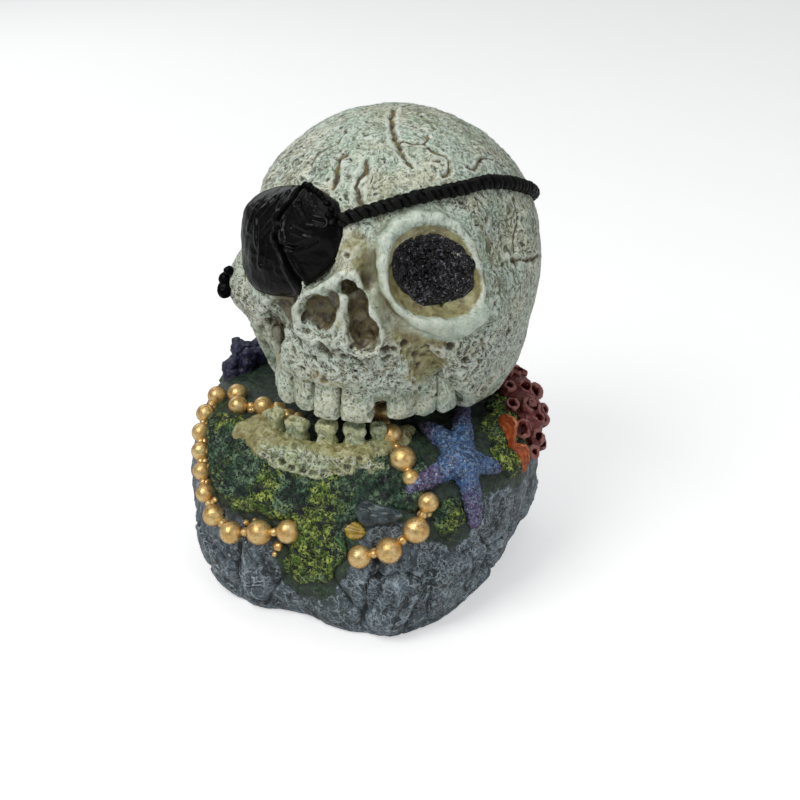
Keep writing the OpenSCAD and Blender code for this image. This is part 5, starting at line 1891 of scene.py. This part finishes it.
def build_leaf():
    tilt = 38

    def radius(degrees):
        return 3.3 - 1.9 * abs_sin(degrees + tilt) ** .7

    def height(share, x, y):
        from_vein = x * math.sin(rad(tilt)) - y * math.cos(rad(tilt))
        return 1.5 * (1 - share ** 6) ** .6 + .35 - .28 * hump(from_vein, .3)

    build_disc("leaf", "leaf_paint", (-82.5, 55.6), 1820, radius, height)


def shell_fan(line, tall, lean, cup, phase, sink, outward):
    """A ruffled half shell standing on the rock along a line of (bearing, slope)."""
    cols, rows = ((110, 40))
    along = np.linspace(0, 1, cols)
    places = np.array([rock_at(*place, sink) for place in line])
    knots = np.linspace(0, 1, len(line))
    foot = np.stack([np.interp(along, knots, places[:, k]) for k in range(3)], -1)
    for _ in range(8):
        foot[1:-1] = .5 * foot[1:-1] + .25 * (foot[2:] + foot[:-2])
    up_share = np.linspace(0, 1, rows)[None]
    along = along[:, None]
    envelope = np.clip(np.sin(np.pi * (.06 + .88 * along)), 0, 1) ** .55
    forward = unit(foot[-1] - foot[0])
    up = unit((1 - outward) * np.array([.10, -.05, 1.0]) + outward * rock_normal(*line[1]))
    up = unit(up - .6 * (up @ forward) * forward)
    side = unit(np.cross(forward, up))
    ruffle = (.26 * np.sin(along * 13 + phase) * up_share ** 2
              + .14 * np.sin(along * 34 + phase) * up_share ** 3)
    bulge = cup * np.sin(np.pi * np.clip(along, 0, 1)) * np.sin(np.pi * .62 * up_share)
    over = lean * up_share + bulge + ruffle
    middle = (foot[:, None] + (tall * envelope * up_share)[..., None] * up
              - over[..., None] * side + ((along - .5) * 1.6 * up_share)[..., None] * forward)
    half = (.62 - .22 * up_share) * (.55 + .45 * envelope)
    half = (half + .09 * np.cos(2 * np.pi * up_share * 5) * envelope * [[1]])[..., None]
    plain_half = ((.62 - .22 * up_share) * (.55 + .45 * envelope))[..., None]
    groove = half - plain_half
    return sheet_solid(middle + half * side, middle - (plain_half - groove) * side,
                       np.ones((cols - 1, rows - 1), bool))[:2]


def build_bracket_shells():
    lower = shell_fan([(-8, 12.5), (-12, 17), (-14.5, 22.5), (-15, 28.5)], tall=6.6, lean=1.0,
                      cup=1.6, phase=1.0, sink=-.4, outward=0.0)
    upper = shell_fan([(-15, 26), (-16, 30.5), (-15.5, 35.5), (-12.5, 41)], tall=5.6, lean=.6,
                      cup=1.5, phase=2.2, sink=-.2, outward=.55)
    points = np.concatenate([lower[0], upper[0]])
    faces = np.concatenate([lower[1], upper[1] + len(lower[0])])
    rough = .10 * layered(points, 1.2, 2, 1850)
    points = points + rough[:, None] * normals(points, faces)
    add_look("bracket_shells", "base", "orange_shell_paint", points, faces,
             cav=cavity(points, faces, 5))


# ------------------------------------------------------------------ frame parts that stay in view
FRAME_FINISH = {
    "hinge_bracket": "bracket_resin", "hinge_pin": "stainless", "hinge_lug": "lug_resin",
    "air_inlet": "black_tube_plastic", "air_elbow": "black_tube_plastic",
    "riser_tube": "clear_tube_plastic"}


def finish_frame_parts():
    for node, material in FRAME_FINISH.items():
        slots = frame["nodes"][node].data.materials
        slots.clear()
        slots.append(MATERIALS[material])


# ------------------------------------------------------------------ stage, light, camera (metres)
TARGET = (np.array([8.8, 0, 43.0]) + OFFSET) * MM
CAMERA_BEARING, CAMERA_RISE, CAMERA_DISTANCE = math.radians(18), math.radians(28), .375
# name, place, size, power in W, colour
LIGHTS = [
    ("key", (-.16, -.34, .52), .30, 1.55, (1.0, .99, .97)),
    ("fill", (.48, -.30, .30), .36, .36, (.97, .98, 1.0)),
    ("top", (.05, .10, .62), .45, .62, (1, 1, 1)),
    ("rim", (-.42, .36, .30), .30, .36, (.98, .99, 1.0))]


def add_object(name, data):
    thing = bpy.data.objects.new(name, data)
    bpy.context.scene.collection.objects.link(thing)
    return thing


def add_camera():
    level = math.cos(CAMERA_RISE)
    back = Vector((math.sin(CAMERA_BEARING) * level, -math.cos(CAMERA_BEARING) * level,
                   math.sin(CAMERA_RISE)))
    data = bpy.data.cameras.new("camera")
    data.lens = 69
    data.sensor_width = 36
    data.clip_start = .01
    data.clip_end = 10
    camera = add_object("camera", data)
    camera.location = Vector(TARGET) + back * CAMERA_DISTANCE
    camera.rotation_euler = (-back).to_track_quat("-Z", "Y").to_euler()
    bpy.context.scene.camera = camera


def add_lights():
    for name, place, size, power, color in LIGHTS:
        data = bpy.data.lights.new(name, "AREA")
        data.energy = power
        data.size = size
        data.color = color
        light = add_object(name, data)
        light.location = Vector(place)
        aim = Vector(TARGET) - Vector(place)
        light.rotation_euler = aim.to_track_quat("-Z", "Y").to_euler()
    world = bpy.data.worlds.new("studio")
    bpy.context.scene.world = world
    world.use_nodes = True
    background = world.node_tree.nodes["Background"]
    background.inputs[0].default_value = (.95, .97, 1.0, 1)
    background.inputs[1].default_value = .22
    bpy.context.scene.view_settings.view_transform = "Standard"


def add_floor():
    mesh = bpy.data.meshes.new("floor")
    grid = bmesh.new()
    bmesh.ops.create_grid(grid, x_segments=8, y_segments=8, size=3.0)
    grid.to_mesh(mesh)
    grid.free()
    floor = add_object("floor", mesh)
    floor.location = (0, 0, -.0004)
    m = Material("floor_pale")
    m.color = m.mix(m.noise(mm=60, detail=2), (.87, .87, .87), (.90, .90, .90), decode=tuple)
    # glows for the camera only
    seen = m.node("ShaderNodeLightPath", {}, "Is Camera Ray")
    m.finish(.7, Specular_IOR_Level=.1, Emission_Color=(1.0, 1.0, 1.0),
             Emission_Strength=seen * .48)
    mesh.materials.append(MATERIALS["floor_pale"])


# ------------------------------------------------------------------ build
make_materials()
skull = build_skull_shell()
build_upper_teeth()
build_eye_lining(skull)
build_eye_patch(skull)
build_cord(skull)
build_rock()
build_moss("moss_front", ["front"], thickness=1.25, seed=1000)
build_moss("moss_right", ["right_top", "right_side"], thickness=1.35, seed=1100)
build_moss("moss_rear", ["rear"], thickness=1.2, seed=1200)
build_lower_jaw()
build_lower_teeth()
build_beads("gilt_beads_left", BEADS_LEFT + BEADS_DECK, 1400)
build_beads("gilt_beads_right", BEADS_RIGHT + BEADS_UPPER, 1440)
build_bead_links()
build_starfish()
build_tube_coral()
build_branch_coral()
build_slate_chip()
build_scallop_shell()
build_leaf()
build_bracket_shells()
finish_frame_parts()
add_camera()
add_lights()
add_floor()
